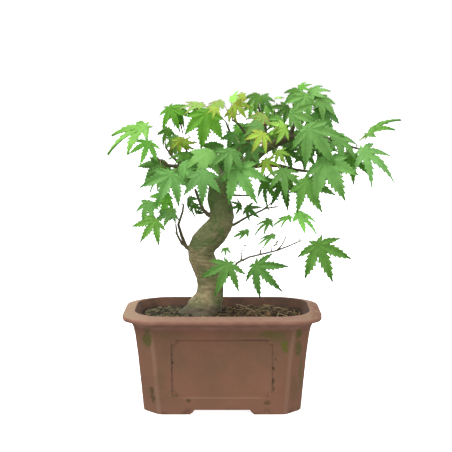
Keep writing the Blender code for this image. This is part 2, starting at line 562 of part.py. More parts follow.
half_w = PANEL_W / 2.0
half_h = (PANEL_TOP - PANEL_LOW) / 2.0
n = PANEL_NOTCH
quarter = [
    (half_w, half_h - n), (half_w - 0.75 * n, half_h - 0.9 * n),
    (half_w - 0.9 * n, half_h - 0.75 * n), (half_w - n, half_h),
]
panel_outline = (
    quarter
    + [(-x, y) for x, y in reversed(quarter)]
    + [(-x, -y) for x, y in quarter]
    + [(x, -y) for x, y in reversed(quarter)]
)


def face_at(z):
    """Half depth of the body's front at a height."""
    spots = ((0.9, BASE_D), (WAIST_Z, WAIST_D), (BODY_TOP_Z - 8.0, BODY_TOP_D - 3.2), (BODY_TOP_Z, BODY_TOP_D))
    for (low, narrow), (high, wide) in zip(spots, spots[1:]):
        if z <= high:
            break
    return (narrow + (wide - narrow) * (z - low) / (high - low)) / 2.0


slope = math.atan2(face_at(PANEL_TOP) - face_at(PANEL_LOW), PANEL_TOP - PANEL_LOW)
panel_z = (PANEL_TOP + PANEL_LOW) / 2.0
panel_out = (face_at(PANEL_TOP) + face_at(PANEL_LOW)) / 2.0 + 5.0 - PANEL_SINK
for sign in (-1.0, 1.0):
    cutter = prism("panel_cutter", panel_outline, 10.0)
    lay = Matrix.Rotation(math.radians(90.0) + sign * -slope, 4, "X")
    cutter.data.transform(lay)
    out = Vector((0.0, sign * panel_out * MM, panel_z * MM))
    cutter.data.transform(Matrix.Translation(out))
    combine(pot, cutter, "DIFFERENCE")

for sign in (-1.0, 1.0):
    combine(pot, cylinder("drain", (sign * DRAIN_X, 0.0, 9.0), DRAIN_R, 24.0, 16), "DIFFERENCE")
for spot in (WIRE_PATH[2], WIRE_PATH[9]):
    combine(pot, cylinder("wire_hole", (spot[0], spot[1], 9.0), WIRE_HOLE_R, 24.0, 10), "DIFFERENCE")

chip_mesh = bpy.data.meshes.new("chip")
chip_shape = bmesh.new()
bmesh.ops.create_icosphere(chip_shape, subdivisions=1, radius=1.0)
bmesh.ops.scale(chip_shape, vec=[s * MM for s in CHIP_SIZE], verts=chip_shape.verts)
bmesh.ops.translate(chip_shape, vec=[c * MM for c in CHIP_AT], verts=chip_shape.verts)
chip_shape.to_mesh(chip_mesh)
chip_shape.free()
combine(pot, mesh_object("chip", chip_mesh), "DIFFERENCE")
finish(pot, CLAY)

# ---------------------------------------------------------------- drainage mesh
mesh_z = FLOOR_Z + GAP + MESH_THICK / 2.0
for label, sign in (("left", -1.0), ("right", 1.0)):
    plate = box("drainage_mesh_" + label, (sign * DRAIN_X, 0.0, mesh_z), (MESH_SIDE, MESH_SIDE, MESH_THICK))
    for row in (-1, 0, 1):
        for column in (-1, 0, 1):
            spot = (sign * DRAIN_X + column * MESH_PITCH, row * MESH_PITCH, mesh_z)
            combine(plate, box("mesh_hole", spot, (MESH_HOLE, MESH_HOLE, 4.0)), "DIFFERENCE")
    finish(plate, MESH)

# ---------------------------------------------------------------- wood


def lifted(points):
    """Points of the tree, moved up or down with the soil."""
    return tuple((p[0], p[1], p[2] + LIFT) + tuple(p[3:]) for p in points)


def spread(root):
    """A root's points, nearer to the trunk or further from it as the pot's inside allows."""
    wide = WALL_W / ROOT_ROOM_W
    deep = WALL_D / ROOT_ROOM_D
    return tuple(
        (ROOT_CENTRE_X + (p[0] - ROOT_CENTRE_X) * wide, p[1] * deep) + tuple(p[2:]) for p in root
    )


def wood_base(grow, stretch):
    """Trunk and roots, the part of the tree that the soil lies against."""
    body = mesh_object("wood_base", tube("trunk", lifted(TRUNK), 6, grow, stretch))
    for i, root in enumerate(ROOTS):
        tool = mesh_object("root", tube("root_" + str(i), lifted(spread(root)), 3, grow, stretch))
        combine(body, tool, "UNION")
    return body


wood = wood_base(0.0, 0.0)
wood.name = "wood"
for name, points in BRANCHES.items():
    thick = 1 if points[0][3] < 2.9 else 2
    combine(wood, mesh_object(name, tube(name, lifted(points), thick)), "UNION")
finish(wood, BARK)

# ---------------------------------------------------------------- wire
wire_points = [p + (WIRE_R,) for p in WIRE_PATH]
wire = mesh_object("tie_wire", tube("tie_wire", wire_points, 1))
finish(wire, WIRE)

# ---------------------------------------------------------------- soil


def inside(z):
    """Width, depth and corner cut of the pot's inside at a height below the mouth."""
    if z <= WALL_Z:
        share = (z - FLOOR_Z - 2.5) / (WALL_Z - FLOOR_Z - 2.5)
        return (
            FLOOR_W + (WALL_W - FLOOR_W) * share,
            FLOOR_D + (WALL_D - FLOOR_D) * share,
            FLOOR_CUT + (WALL_CUT - FLOOR_CUT) * share,
        )
    share = (z - WALL_Z) / (POT_HEIGHT - 1.5 - WALL_Z)
    return (
        WALL_W + (MOUTH_W - 1.6 - WALL_W) * share,
        WALL_D + (MOUTH_D - 1.6 - WALL_D) * share,
        WALL_CUT + (MOUTH_CUT - WALL_CUT) * share,
    )


def soil_ring(z, shrink=1.0, level=None, toward=(0.0, 0.0)):
    width, depth, cut = inside(min(z, WALL_Z))
    ring = section(width - 2.4 * GAP, depth - 2.4 * GAP, cut, BODY_SOFT, z if level is None else level)
    for point in ring:
        point.x = toward[0] * MM + (point.x - toward[0] * MM) * shrink
        point.y = toward[1] * MM + (point.y - toward[1] * MM) * shrink
    return ring


def soil_body(room):
    """The soil, cut free of the wood with this much room, and of the wire and drainage mesh."""
    low_w = FLOOR_W - 4.0 - 3.0 * GAP
    low_d = FLOOR_D - 4.0 - 3.0 * GAP
    body = loft("soil", [
        section(low_w, low_d, FLOOR_CUT, BODY_SOFT, FLOOR_Z + GAP),
        soil_ring(FLOOR_Z + 2.5 + GAP),
        soil_ring(SOIL_EDGE_Z - 1.6),
        soil_ring(SOIL_EDGE_Z, 0.985, SOIL_EDGE_Z, SOIL_CENTRE),
        soil_ring(SOIL_EDGE_Z, 0.70, SOIL_EDGE_Z + SOIL_RISE_MID, SOIL_CENTRE),
        soil_ring(SOIL_EDGE_Z, 0.36, SOIL_EDGE_Z + SOIL_RISE_CROWN, SOIL_CENTRE),
    ])
    combine(body, wood_base(room, room + 0.1), "DIFFERENCE")
    wire_space = tube("wire_space", [p + (WIRE_R,) for p in WIRE_PATH[1:-1]], 1, 0.6, 20.0)
    combine(body, mesh_object("wire_space", wire_space), "DIFFERENCE")
    for sign in (-1.0, 1.0):
        side = MESH_SIDE + 2.0 * GAP
        height = 2.0 * (MESH_THICK + 2.0 * GAP)
        combine(body, box("mesh_space", (sign * DRAIN_X, 0.0, FLOOR_Z), (side, side, height)), "DIFFERENCE")
    return body


# where a cut happens to run along an edge, a hair more room around the wood makes it clean
for room in (0.6, 0.62, 0.64, 0.66, 0.7):
    soil = soil_body(room)
    if one_body(soil.data):
        break
    bpy.data.objects.remove(soil, do_unlink=True)
else:
    soil = soil_body(0.6)
soil.name = "soil"
finish(soil, SOIL)

# ---------------------------------------------------------------- leaves


def point_on(points, share):
    """Point, radius and direction at a share of a branch's length."""
    spots = [Vector(p[:3]) for p in points]
    lengths = [(b - a).length for a, b in zip(spots, spots[1:])]
    left = sum(lengths) * share
    for i, length in enumerate(lengths):
        if left <= length or i == len(lengths) - 1:
            t = min(left / length, 1.0)
            where = spots[i].lerp(spots[i + 1], t)
            radius = points[i][3] + (points[i + 1][3] - points[i][3]) * t
            return where, radius, (spots[i + 1] - spots[i]).normalized()
        left -= length
    return spots[-1], points[-1][3], (spots[-1] - spots[-2]).normalized()


def leaf_axes(aim, lean, roll):
    """Direction of the middle lobe, upper side's normal, and the sideways axis."""
    a = math.radians(aim)
    b = math.radians(lean)
    ahead = Vector((math.cos(a) * math.cos(b), -math.sin(b), math.sin(a) * math.cos(b)))
    view = Vector((0.0, -1.0, 0.0))
    normal = (view - ahead * view.dot(ahead)).normalized()
    normal = Matrix.Rotation(math.radians(roll), 3, ahead) @ normal
    return ahead, normal, normal.cross(ahead)


def blade(hub, leaf, grow=0.0, scale=1.0):
    """A thin drooping five-to-seven-lobed blade, as points and faces."""
    ahead, normal, across = leaf_axes(leaf[3], leaf[4], leaf[5])
    size = leaf[6] * scale
    half = BLADE_HALF * min(1.0, 0.55 + size / 60.0) + grow
    droop = LEVEL_DROOP if abs(leaf[5]) > LEVEL_ROLL else LEAF_DROOP
    sides = [(0.0, 1.0)] + list(OUTLINE)
    ring = [(angle, share) for angle, share in sides]
    ring += [(180.0, LEAF_BASE)]
    ring += [(-angle, share) for angle, share in reversed(OUTLINE)]
    points = [hub + normal * half, hub - normal * half]
    for angle, share in ring:
        t = math.radians(angle)
        flat = ahead * math.cos(t) + across * math.sin(t)
        fall = droop * share * share + 0.02
        points.append(hub + flat * (size * share) - normal * (size * fall))
    faces = []
    count = len(ring)
    for i in range(count):
        a = 2 + i
        b = 2 + (i + 1) % count
        faces.append((0, a, b))
        faces.append((1, b, a))
    return points, faces


def petiole(start, hub, leaf, sag):
    """Path of a leaf stalk from its branch to just inside the blade's base."""
    ahead, normal, across = leaf_axes(leaf[3], leaf[4], leaf[5])
    end = hub - ahead * (leaf[6] * LEAF_BASE * 0.42) - normal * 0.1
    middle = start.lerp(end, 0.55)
    lift = (end - start).length
    middle = middle - ahead * (lift * 0.08) + Vector((0.0, 0.0, lift * 0.05)) + sag
    return [start, middle, end]


def tree_of(points, faces):
    return BVHTree.FromPolygons([p for p in points], faces)


def mesh_tree(mesh, scale=1000.0):
    points = [v.co * scale for v in mesh.vertices]
    return BVHTree.FromPolygons(points, [tuple(p.vertices) for p in mesh.polygons])


fixed_trees = [mesh_tree(wood.data), mesh_tree(pot.data), mesh_tree(soil.data)]
grown_trees = []
NUDGES = [(0, 0, 0)]
for reach in (3, 6, 9, 12, 16):
    NUDGES += [(0, -reach, 0), (0, reach, 0), (0, -reach, reach // 2), (0, reach, reach // 2)]
    NUDGES += [(reach // 2, -reach, -reach // 3), (-reach // 2, reach, -reach // 3)]
SAGS = [(0, 0, 0), (0, -4, 0), (0, 4, 0), (0, 0, 4), (0, 0, -4), (4, 0, 0), (-4, 0, 0)]
SAGS += [(0, -8, 2), (0, 8, 2), (6, -6, 0), (-6, 6, 0), (6, 6, 0), (-6, -6, 0)]



def grow_leaf(body, start, leaf, own_blades):
    """Join one leaf to its bud, moved aside as far as its neighbours need; the mesh and hub."""
    neighbours = fixed_trees + grown_trees + own_blades
    for nudge in NUDGES:
        hub = Vector(leaf[:3]) + Vector(nudge)
        wide = tree_of(*blade(hub, leaf, 0.5, 1.03))
        if any(wide.overlap(other) for other in neighbours):
            continue
        for sag in SAGS:
            path = petiole(start, hub, leaf, Vector(sag))
            bar = tube("petiole", [tuple(p) + (PETIOLE_R,) for p in path], 0, 0.0)
            bar_tree = mesh_tree(bar)
            if any(bar_tree.overlap(other) for other in neighbours):
                continue
            points, faces = blade(hub, leaf)
            flat = bpy.data.meshes.new("blade")
            flat.from_pydata([p * MM for p in points], [], faces)
            flat.validate()
            trial = mesh_object("trial", body.data.copy())
            piece = mesh_object("blade", flat)
            combine(piece, mesh_object("petiole", bar), "UNION")
            combine(trial, piece, "UNION")
            mesh = trial.data
            bpy.data.objects.remove(trial, do_unlink=True)
            if one_body(mesh):
                return mesh, hub
    return None


for group, (branch, share, leaves) in LEAVES.items():
    where, radius, along = point_on(lifted(BRANCHES[branch]), share)
    leaves = lifted(leaves)
    hubs_mid = Vector((0.0, 0.0, 0.0))
    for leaf in leaves:
        hubs_mid += Vector(leaf[:3])
    hubs_mid /= len(leaves)
    if share >= 0.999:
        out = along
        start = where + out * (GAP + 0.55)
    else:
        out = hubs_mid - where
        out = (out - along * out.dot(along)).normalized()
        start = where + out * (radius + GAP + 0.6)
    bud_ends = (start - out * 0.3, start + out * 0.9)
    bud = tube("bud", [tuple(bud_ends[0]) + (0.72,), tuple(bud_ends[1]) + (0.6,)], 0)
    body = mesh_object("bud", bud)
    own_blades = []
    for leaf in leaves:
        grown = grow_leaf(body, start, leaf, own_blades)
        if grown is None:
            print("no room for a leaf of", group)
            continue
        body.data, hub = grown
        own_blades.append(tree_of(*blade(hub, leaf, 0.5, 1.03)))
    body.name = "leaf_" + group
    finish(body, LEAF)
    grown_trees.append(mesh_tree(body.data))

# ---------------------------------------------------------------- frame
# The frame's origin is the middle of the whole plant's footprint, to the nearest millimetre,
# at the level of the feet. The crown leans out past the pot, so the pot stands off it.
corners = [v.co for obj in PARTS.objects for v in obj.data.vertices]
shift = Vector((0.0, 0.0, 0.0))
for axis in (0, 1):
    low = min(c[axis] for c in corners)
    high = max(c[axis] for c in corners)
    shift[axis] = -round((low + high) / 2.0 / MM) * MM
for obj in PARTS.objects:
    obj.data.transform(Matrix.Translation(shift))
print("pot centre stands at", [round(c / MM) for c in shift], "mm")
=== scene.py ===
"""Looks for the maple bonsai in its clay pot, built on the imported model."""

import math
import random

import bmesh
import bpy
import numpy as np
from mathutils import Matrix, Vector, noise
from mathutils.bvhtree import BVHTree


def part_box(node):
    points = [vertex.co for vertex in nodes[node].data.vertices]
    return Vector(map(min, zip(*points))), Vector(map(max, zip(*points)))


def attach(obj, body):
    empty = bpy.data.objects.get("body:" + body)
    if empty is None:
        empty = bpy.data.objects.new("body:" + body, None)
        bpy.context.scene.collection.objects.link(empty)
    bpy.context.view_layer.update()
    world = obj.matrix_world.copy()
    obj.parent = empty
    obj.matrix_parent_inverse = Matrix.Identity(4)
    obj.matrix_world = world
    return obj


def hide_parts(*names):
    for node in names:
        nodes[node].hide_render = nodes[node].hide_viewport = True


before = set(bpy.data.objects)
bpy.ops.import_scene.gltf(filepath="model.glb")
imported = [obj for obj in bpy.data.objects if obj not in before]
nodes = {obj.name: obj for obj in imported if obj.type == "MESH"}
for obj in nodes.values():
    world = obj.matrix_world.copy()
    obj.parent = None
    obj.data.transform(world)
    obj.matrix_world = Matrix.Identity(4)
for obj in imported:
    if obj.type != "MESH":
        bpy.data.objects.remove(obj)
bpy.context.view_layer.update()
MM = 0.001

pot_low, pot_high = (Vector(c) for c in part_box("pot"))
POT = Vector(((pot_low.x + pot_high.x) / 2, (pot_low.y + pot_high.y) / 2, 0.0))

# ------------------------------------------------------------------ helpers


def linear(r, g, b):
    """A colour given as it looks on screen, 0 to 255, as linear values."""
    out = []
    for c in (r, g, b):
        c /= 255.0
        out.append(c / 12.92 if c <= 0.04045 else ((c + 0.055) / 1.055) ** 2.4)
    return tuple(out) + (1.0,)


class Nodes:
    """Short-hand for building a material's nodes."""

    def __init__(self, name):
        self.mat = bpy.data.materials.new(name)
        self.mat.use_nodes = True
        self.tree = self.mat.node_tree
        self.tree.nodes.clear()

    def add(self, kind, **settings):
        node = self.tree.nodes.new(kind)
        for key, value in settings.items():
            setattr(node, key, value)
        return node

    def put(self, node, slot, value):
        socket = node.inputs[slot]
        if isinstance(value, bpy.types.NodeSocket):
            self.tree.links.new(value, socket)
        else:
            socket.default_value = value

    def noise(self, coord, scale, detail=4.0, rough=0.55, distortion=0.0):
        node = self.add("ShaderNodeTexNoise")
        self.put(node, "Vector", coord)
        self.put(node, "Scale", scale)
        self.put(node, "Detail", detail)
        self.put(node, "Roughness", rough)
        self.put(node, "Distortion", distortion)
        return node.outputs["Fac"]

    def voronoi(self, coord, scale):
        node = self.add("ShaderNodeTexVoronoi")
        self.put(node, "Vector", coord)
        self.put(node, "Scale", scale)
        return node.outputs["Distance"]

    def math(self, op, a, b=None, clamp=False):
        node = self.add("ShaderNodeMath", operation=op, use_clamp=clamp)
        self.put(node, 0, a)
        if b is not None:
            self.put(node, 1, b)
        return node.outputs[0]

    def apart(self, a, b):
        """How far two numbers are apart."""
        return self.math("ABSOLUTE", self.math("SUBTRACT", a, b))

    def ramp(self, fac, low, high, out_low=0.0, out_high=1.0):
        node = self.add("ShaderNodeMapRange", clamp=True)
        node.interpolation_type = "SMOOTHSTEP"
        self.put(node, "Value", fac)
        self.put(node, "From Min", low)
        self.put(node, "From Max", high)
        self.put(node, "To Min", out_low)
        self.put(node, "To Max", out_high)
        return node.outputs["Result"]

    def mix(self, fac, a, b, blend="MIX"):
        node = self.add("ShaderNodeMix", data_type="RGBA", blend_type=blend)
        self.put(node, "Factor", fac)
        self.put(node, 6, a)  # sockets 6 and 7 are the colours to mix, output 2 the mixed colour
        self.put(node, 7, b)
        return node.outputs[2]

    def axes(self, vector):
        node = self.add("ShaderNodeSeparateXYZ")
        self.put(node, 0, vector)
        return node.outputs

    def place(self, coord, move=(0, 0, 0), scale=(1, 1, 1)):
        node = self.add("ShaderNodeMapping")
        self.put(node, "Vector", coord)
        node.inputs["Location"].default_value = move
        node.inputs["Scale"].default_value = scale
        return node.outputs[0]

    def position(self):
        return self.add("ShaderNodeNewGeometry").outputs["Position"]

    def bump(self, height, strength, distance):
        node = self.add("ShaderNodeBump")
        self.put(node, "Height", height)
        self.put(node, "Strength", strength)
        self.put(node, "Distance", distance)
        return node.outputs[0]

    def principled(self, colour, roughness, normal=None, specular=0.5, metallic=0.0):
        node = self.add("ShaderNodeBsdfPrincipled")
        self.put(node, "Base Color", colour)
        self.put(node, "Roughness", roughness)
        node.inputs["Specular IOR Level"].default_value = specular
        node.inputs["Metallic"].default_value = metallic
        if normal is not None:
            self.put(node, "Normal", normal)
        return node

    def output(self, shader):
        node = self.add("ShaderNodeOutputMaterial")
        self.tree.links.new(shader.outputs[0], node.inputs["Surface"])
        return self.mat


def new_object(name, mesh, material=None):
    obj = bpy.data.objects.new(name, mesh)
    bpy.context.scene.collection.objects.link(obj)
    if material is not None:
        mesh.materials.append(material)
    return obj


def welded(node):
    """A CAD node's points and faces with shared corners."""
    mesh = node.data
    index = {}
    points = []
    remap = []
    for v in mesh.vertices:
        key = tuple(round(c * 1e6) for c in v.co)
        if key not in index:
            index[key] = len(points)
            points.append(Vector(v.co))
        remap.append(index[key])
    faces = []
    for p in mesh.polygons:
        face = tuple(remap[i] for i in p.vertices)
        if len(set(face)) == len(face):
            faces.append(face)
    return points, faces


def applied(obj):
    """Bake an object's modifiers into its mesh."""
    bpy.context.view_layer.update()
    graph = bpy.context.evaluated_depsgraph_get()
    mesh = bpy.data.meshes.new_from_object(obj.evaluated_get(graph))
    old = obj.data
    obj.modifiers.clear()
    obj.data = mesh
    if old.users == 0:
        bpy.data.meshes.remove(old)


def smooth(mesh):
    mesh.polygons.foreach_set("use_smooth", [True] * len(mesh.polygons))


# ------------------------------------------------------------------ materials


def spot(n, x, z, centre, reach, ragged):
    """A soft ragged patch on the front of the pot: centre and half size in mm."""
    dx = n.math("DIVIDE", n.math("SUBTRACT", x, centre[0] * MM), reach[0] * MM)
    dz = n.math("DIVIDE", n.math("SUBTRACT", z, centre[1] * MM), reach[1] * MM)
    far = n.math("ADD", n.math("MULTIPLY", dx, dx), n.math("MULTIPLY", dz, dz))
    return n.ramp(n.math("ADD", far, ragged), 1.5, 0.3)


# the pot's features, in metres from its middle at the level of its feet
LIP_BLEND_Z = (0.0890, 0.0935)  # the body's clay gives way to the lip's paler clay
PANEL_SIDE_X = 0.0513
PANEL_MIDDLE_Z = 0.047
PANEL_TOP_Z = 0.0800
PANEL_FOOT_Z = 0.0184
PANEL_FRONT_Y = 0.036
# moss, algae and dirt on the pot's front: middle and half size in mm, kind of edge, strength, screen colour
STAINS = (
    ((-76, 80), (5.0, 8.5), "film", 0.85, (88, 86, 42)),
    ((-76, 90), (4.0, 3.0), "fine", 0.5, (84, 82, 50)),
    ((77.5, 86), (3.6, 5.0), "fine", 0.85, (90, 90, 44)),
    ((77.5, 69), (3.4, 9.0), "film", 0.8, (90, 88, 46)),
    ((50, 86), (13.0, 4.0), "film", 0.75, (100, 94, 46)),
    ((30, 86), (16.0, 2.6), "fine", 0.4, (106, 92, 60)),
    ((63.5, 74), (4.0, 7.0), "film", 0.95, (98, 98, 38)),
    ((58, 81), (10.0, 5.0), "fine", 0.5, (104, 92, 54)),
    ((80.5, 42), (1.8, 18.0), "fine", 0.6, (92, 96, 50)),
    ((74, 26), (4.0, 14.0), "film", 0.35, (100, 90, 56)),
    ((-58, 74), (10.0, 16.0), "film", 0.30, (108, 88, 62)),
    ((-45, 84), (16.0, 5.0), "film", 0.30, (106, 88, 62)),
    ((-72, 25), (2.2, 4.0), "fine", 0.8, (74, 62, 36)),
    ((-71, 17), (2.4, 5.0), "fine", 0.7, (74, 62, 36)),
    ((-34.5, 15.5), (2.2, 2.2), "fine", 0.8, (76, 66, 38)),
    ((46, 13.5), (3.6, 2.6), "fine", 0.7, (80, 68, 42)),
    ((52, 50), (1.4, 2.2), "fine", 0.8, (72, 58, 38)),
    ((52, 36), (1.5, 3.6), "fine", 0.8, (72, 58, 38)),
    ((54, 60), (1.2, 1.4), "fine", 0.6, (84, 68, 46)),
    ((52.5, 28), (0.9, 3.0), "fine", 0.7, (74, 60, 40)),
    ((-50.5, 56), (1.3, 2.0), "fine", 0.8, (72, 58, 40)),
    ((-49, 21), (2.2, 1.8), "fine", 0.6, (88, 76, 48)),
    ((-63, 38), (6.0, 10.0), "film", 0.30, (108, 88, 60)),
)


def clay_material():
    n = Nodes("clay")
    pos = n.position()
    local = n.place(pos, move=tuple(-POT))
    x, y, z = n.axes(local)[:3]
    broad = n.noise(local, 22.0, 4.0, 0.55)
    cloud = n.noise(local, 70.0, 5.0, 0.6)
    grit = n.noise(local, 700.0, 3.0, 0.7)
    speck = n.noise(local, 240.0, 3.0, 0.6)
    body = n.mix(n.ramp(broad, 0.32, 0.68), linear(122, 90, 69), linear(135, 93, 73))
    body = n.mix(n.ramp(cloud, 0.45, 0.75, 0.0, 0.28), body, linear(142, 109, 88))
    body = n.mix(n.ramp(grit, 0.58, 0.78, 0.0, 0.25), body, linear(98, 70, 55))
    body = n.mix(n.ramp(z, 0.024, 0.004, 0.0, 0.6), body, linear(140, 97, 78))
    nx, ny, nz = n.axes(n.add("ShaderNodeNewGeometry").outputs["Normal"])[:3]
    ax = n.math("ABSOLUTE", x)
    ay = n.math("ABSOLUTE", y)
    # soft corners: painted highlight, a paler band where the rounded edges turn between faces
    steep = n.math("ABSOLUTE", nz)
    turn = n.math("ABSOLUTE", nx)
    corner_highlight = n.math("MULTIPLY", n.ramp(turn, 0.10, 0.30), n.ramp(turn, 0.62, 0.46))
    corner_highlight = n.math("MULTIPLY", corner_highlight, n.ramp(steep, 0.5, 0.2, 0.0, 0.5))
    body = n.mix(corner_highlight, body, linear(152, 118, 98))
    # lip: reddish face, tan top that is palest at the ends, worn reddish at the right end
    outward = n.math("ADD", n.math("MULTIPLY", nx, x), n.math("MULTIPLY", ny, y))
    face = n.mix(n.ramp(cloud, 0.35, 0.7), linear(143, 101, 85), linear(160, 118, 100))
    high = n.ramp(z, *LIP_BLEND_Z)
    colour = n.mix(n.math("MULTIPLY", high, 0.9), body, face)
    ends = n.ramp(ax, 0.070, 0.094)
    top = n.mix(ends, linear(140, 109, 91), linear(142, 117, 93))
    top = n.mix(n.ramp(cloud, 0.4, 0.7, 0.0, 0.45), top, linear(132, 99, 82))
    top = n.mix(n.ramp(speck, 0.55, 0.75, 0.0, 0.35), top, linear(166, 144, 121))
    rough_end = n.math("MULTIPLY", n.ramp(x, 0.084, 0.097), n.ramp(speck, 0.36, 0.52, 0.1, 0.9))
    top = n.mix(rough_end, top, linear(122, 80, 64))
    colour = n.mix(n.math("MULTIPLY", n.ramp(nz, 0.45, 0.85), high), colour, top)
    # inside wall: reddish clay darkened by painted shade, darkest deeper down
    inside = n.math("MULTIPLY", n.ramp(outward, -0.004, -0.012), n.ramp(nz, 0.92, 0.78))
    inner_shade = n.mix(n.ramp(cloud, 0.35, 0.65), linear(76, 54, 42), linear(96, 67, 53))
    inner_shade = n.mix(n.ramp(z, 0.0985, 0.0945), inner_shade, linear(58, 48, 38))
    colour = n.mix(inside, colour, inner_shade)
    # moss and algae films
    film = n.math("MULTIPLY", n.math("SUBTRACT", n.noise(local, 190.0, 5.0, 0.7), 0.5), 5.0)
    fine = n.math("MULTIPLY", n.math("SUBTRACT", n.noise(local, 460.0, 4.0, 0.7), 0.5), 5.5)
    facing = n.ramp(ny, -0.2, -0.5)
    outside = n.math("MULTIPLY", facing, n.math("LESS_THAN", y, 0.0))
    for centre, reach, kind, strength, screen in STAINS:
        ragged = film if kind == "film" else fine
        patch = n.math("MULTIPLY", spot(n, x, z, centre, reach, ragged), outside)
        colour = n.mix(n.math("MULTIPLY", patch, strength), colour, linear(*screen))
    # dirt in the panel's grooves, broken up; painted shade as a dark line along part of its top edge; and a
    # painted highlight as a pale line along its foot
    groove = n.ramp(n.apart(ax, PANEL_SIDE_X), 0.0014, 0.0003)
    groove = n.math("MULTIPLY", groove, n.ramp(n.apart(z, PANEL_MIDDLE_Z), 0.034, 0.022))
    groove = n.math("MULTIPLY", groove, n.ramp(n.noise(local, 150.0, 4.0, 0.75), 0.52, 0.64, 0.08, 0.85))
    groove = n.math("MULTIPLY", groove, n.math("GREATER_THAN", ay, PANEL_FRONT_Y))
    colour = n.mix(groove, colour, linear(70, 52, 38))
    line = n.ramp(n.apart(z, PANEL_TOP_Z), 0.0010, 0.0003)
    line = n.math("MULTIPLY", line, n.ramp(n.apart(x, 0.033), 0.022, 0.008, 0.0, 0.6))
    colour = n.mix(n.math("MULTIPLY", line, outside), colour, linear(78, 62, 44))
    line = n.ramp(n.apart(z, PANEL_FOOT_Z), 0.0013, 0.0004)
    line = n.math("MULTIPLY", line, n.ramp(ax, 0.046, 0.036, 0.0, 0.45))
    colour = n.mix(n.math("MULTIPLY", line, outside), colour, linear(158, 126, 106))
    low = n.math("MULTIPLY", n.ramp(z, 0.010, 0.001), n.ramp(cloud, 0.5, 0.66, 0.0, 0.7))
    colour = n.mix(low, colour, linear(78, 62, 48))
    rough = n.ramp(cloud, 0.3, 0.7, 0.74, 0.92)
    worn = n.math("MULTIPLY", rough_end, high)
    height_map = n.math("ADD", n.math("MULTIPLY", grit, 0.35), n.math("MULTIPLY", cloud, 0.9))
    height_map = n.math("SUBTRACT", height_map, n.math("MULTIPLY", worn, 1.5))
    bump = n.bump(height_map, 0.45, 0.0006)
    return n.output(n.principled(colour, rough, bump, 0.25))


def bark_material():
    n = Nodes("bark")
    pos = n.position()
    local = n.place(pos, move=tuple(-POT))
    z = n.axes(local)[2]
    flow = n.place(local, scale=(1.0, 1.0, 2.6))
    broad = n.noise(local, 34.0, 5.0, 0.6, 0.4)
    mottled = n.noise(flow, 95.0, 5.0, 0.62, 0.6)
    fine = n.noise(n.place(local, scale=(1, 1, 3.2)), 420.0, 4.0, 0.7)
    pale = n.mix(n.ramp(mottled, 0.32, 0.68), linear(120, 106, 76), linear(160, 146, 110))
    green = n.mix(n.ramp(fine, 0.3, 0.7), linear(64, 88, 40), linear(102, 124, 68))
    high = n.ramp(z, 0.165, 0.225)
    share = n.math("ADD", n.math("MULTIPLY", high, 0.78), n.ramp(broad, 0.46, 0.63, 0.0, 0.75), True)
    colour = n.mix(share, pale, green)
    dark = n.ramp(n.noise(flow, 150.0, 5.0, 0.75, 0.8), 0.56, 0.72, 0.0, 0.6)
    colour = n.mix(dark, colour, linear(70, 60, 42))
    lichen = n.ramp(n.voronoi(n.place(local, scale=(1, 1, 1.5)), 160.0), 0.10, 0.02, 0.0, 0.35)
    colour = n.mix(lichen, colour, linear(158, 152, 124))
    foot = n.ramp(n.math("ADD", z, n.math("MULTIPLY", broad, 0.012)), 0.121, 0.110, 0.0, 0.85)
    root = n.mix(n.ramp(mottled, 0.35, 0.65), linear(70, 62, 52), linear(104, 92, 78))
    colour = n.mix(foot, colour, root)
    rings = n.add("ShaderNodeTexWave", wave_type="BANDS", bands_direction="Z")
    n.put(rings, "Vector", local)
    n.put(rings, "Scale", 92.0)
    n.put(rings, "Distortion", 9.0)
    n.put(rings, "Detail", 3.0)
    n.put(rings, "Detail Scale", 1.6)
    band = n.math("MULTIPLY", n.ramp(z, 0.120, 0.140), n.ramp(z, 0.195, 0.172))
    line = n.math("MULTIPLY", n.ramp(rings.outputs["Fac"], 0.30, 0.02), band)
    colour = n.mix(n.math("MULTIPLY", line, 0.20), colour, linear(76, 64, 46))
    twig = n.ramp(n.add("ShaderNodeAttribute", attribute_name="thin").outputs["Fac"], 0.25, 0.75)
    twig_colour = n.mix(mottled, linear(66, 60, 44), linear(104, 92, 68))
    colour = n.mix(n.math("MULTIPLY", twig, 0.85), colour, twig_colour)
    height_map = n.math("ADD", n.math("MULTIPLY", fine, 0.5), mottled)
    height_map = n.math("SUBTRACT", height_map, n.math("MULTIPLY", line, 0.5))
    bump = n.bump(height_map, 0.6, 0.0007)
    return n.output(n.principled(colour, n.ramp(fine, 0.3, 0.7, 0.62, 0.85), bump, 0.25))


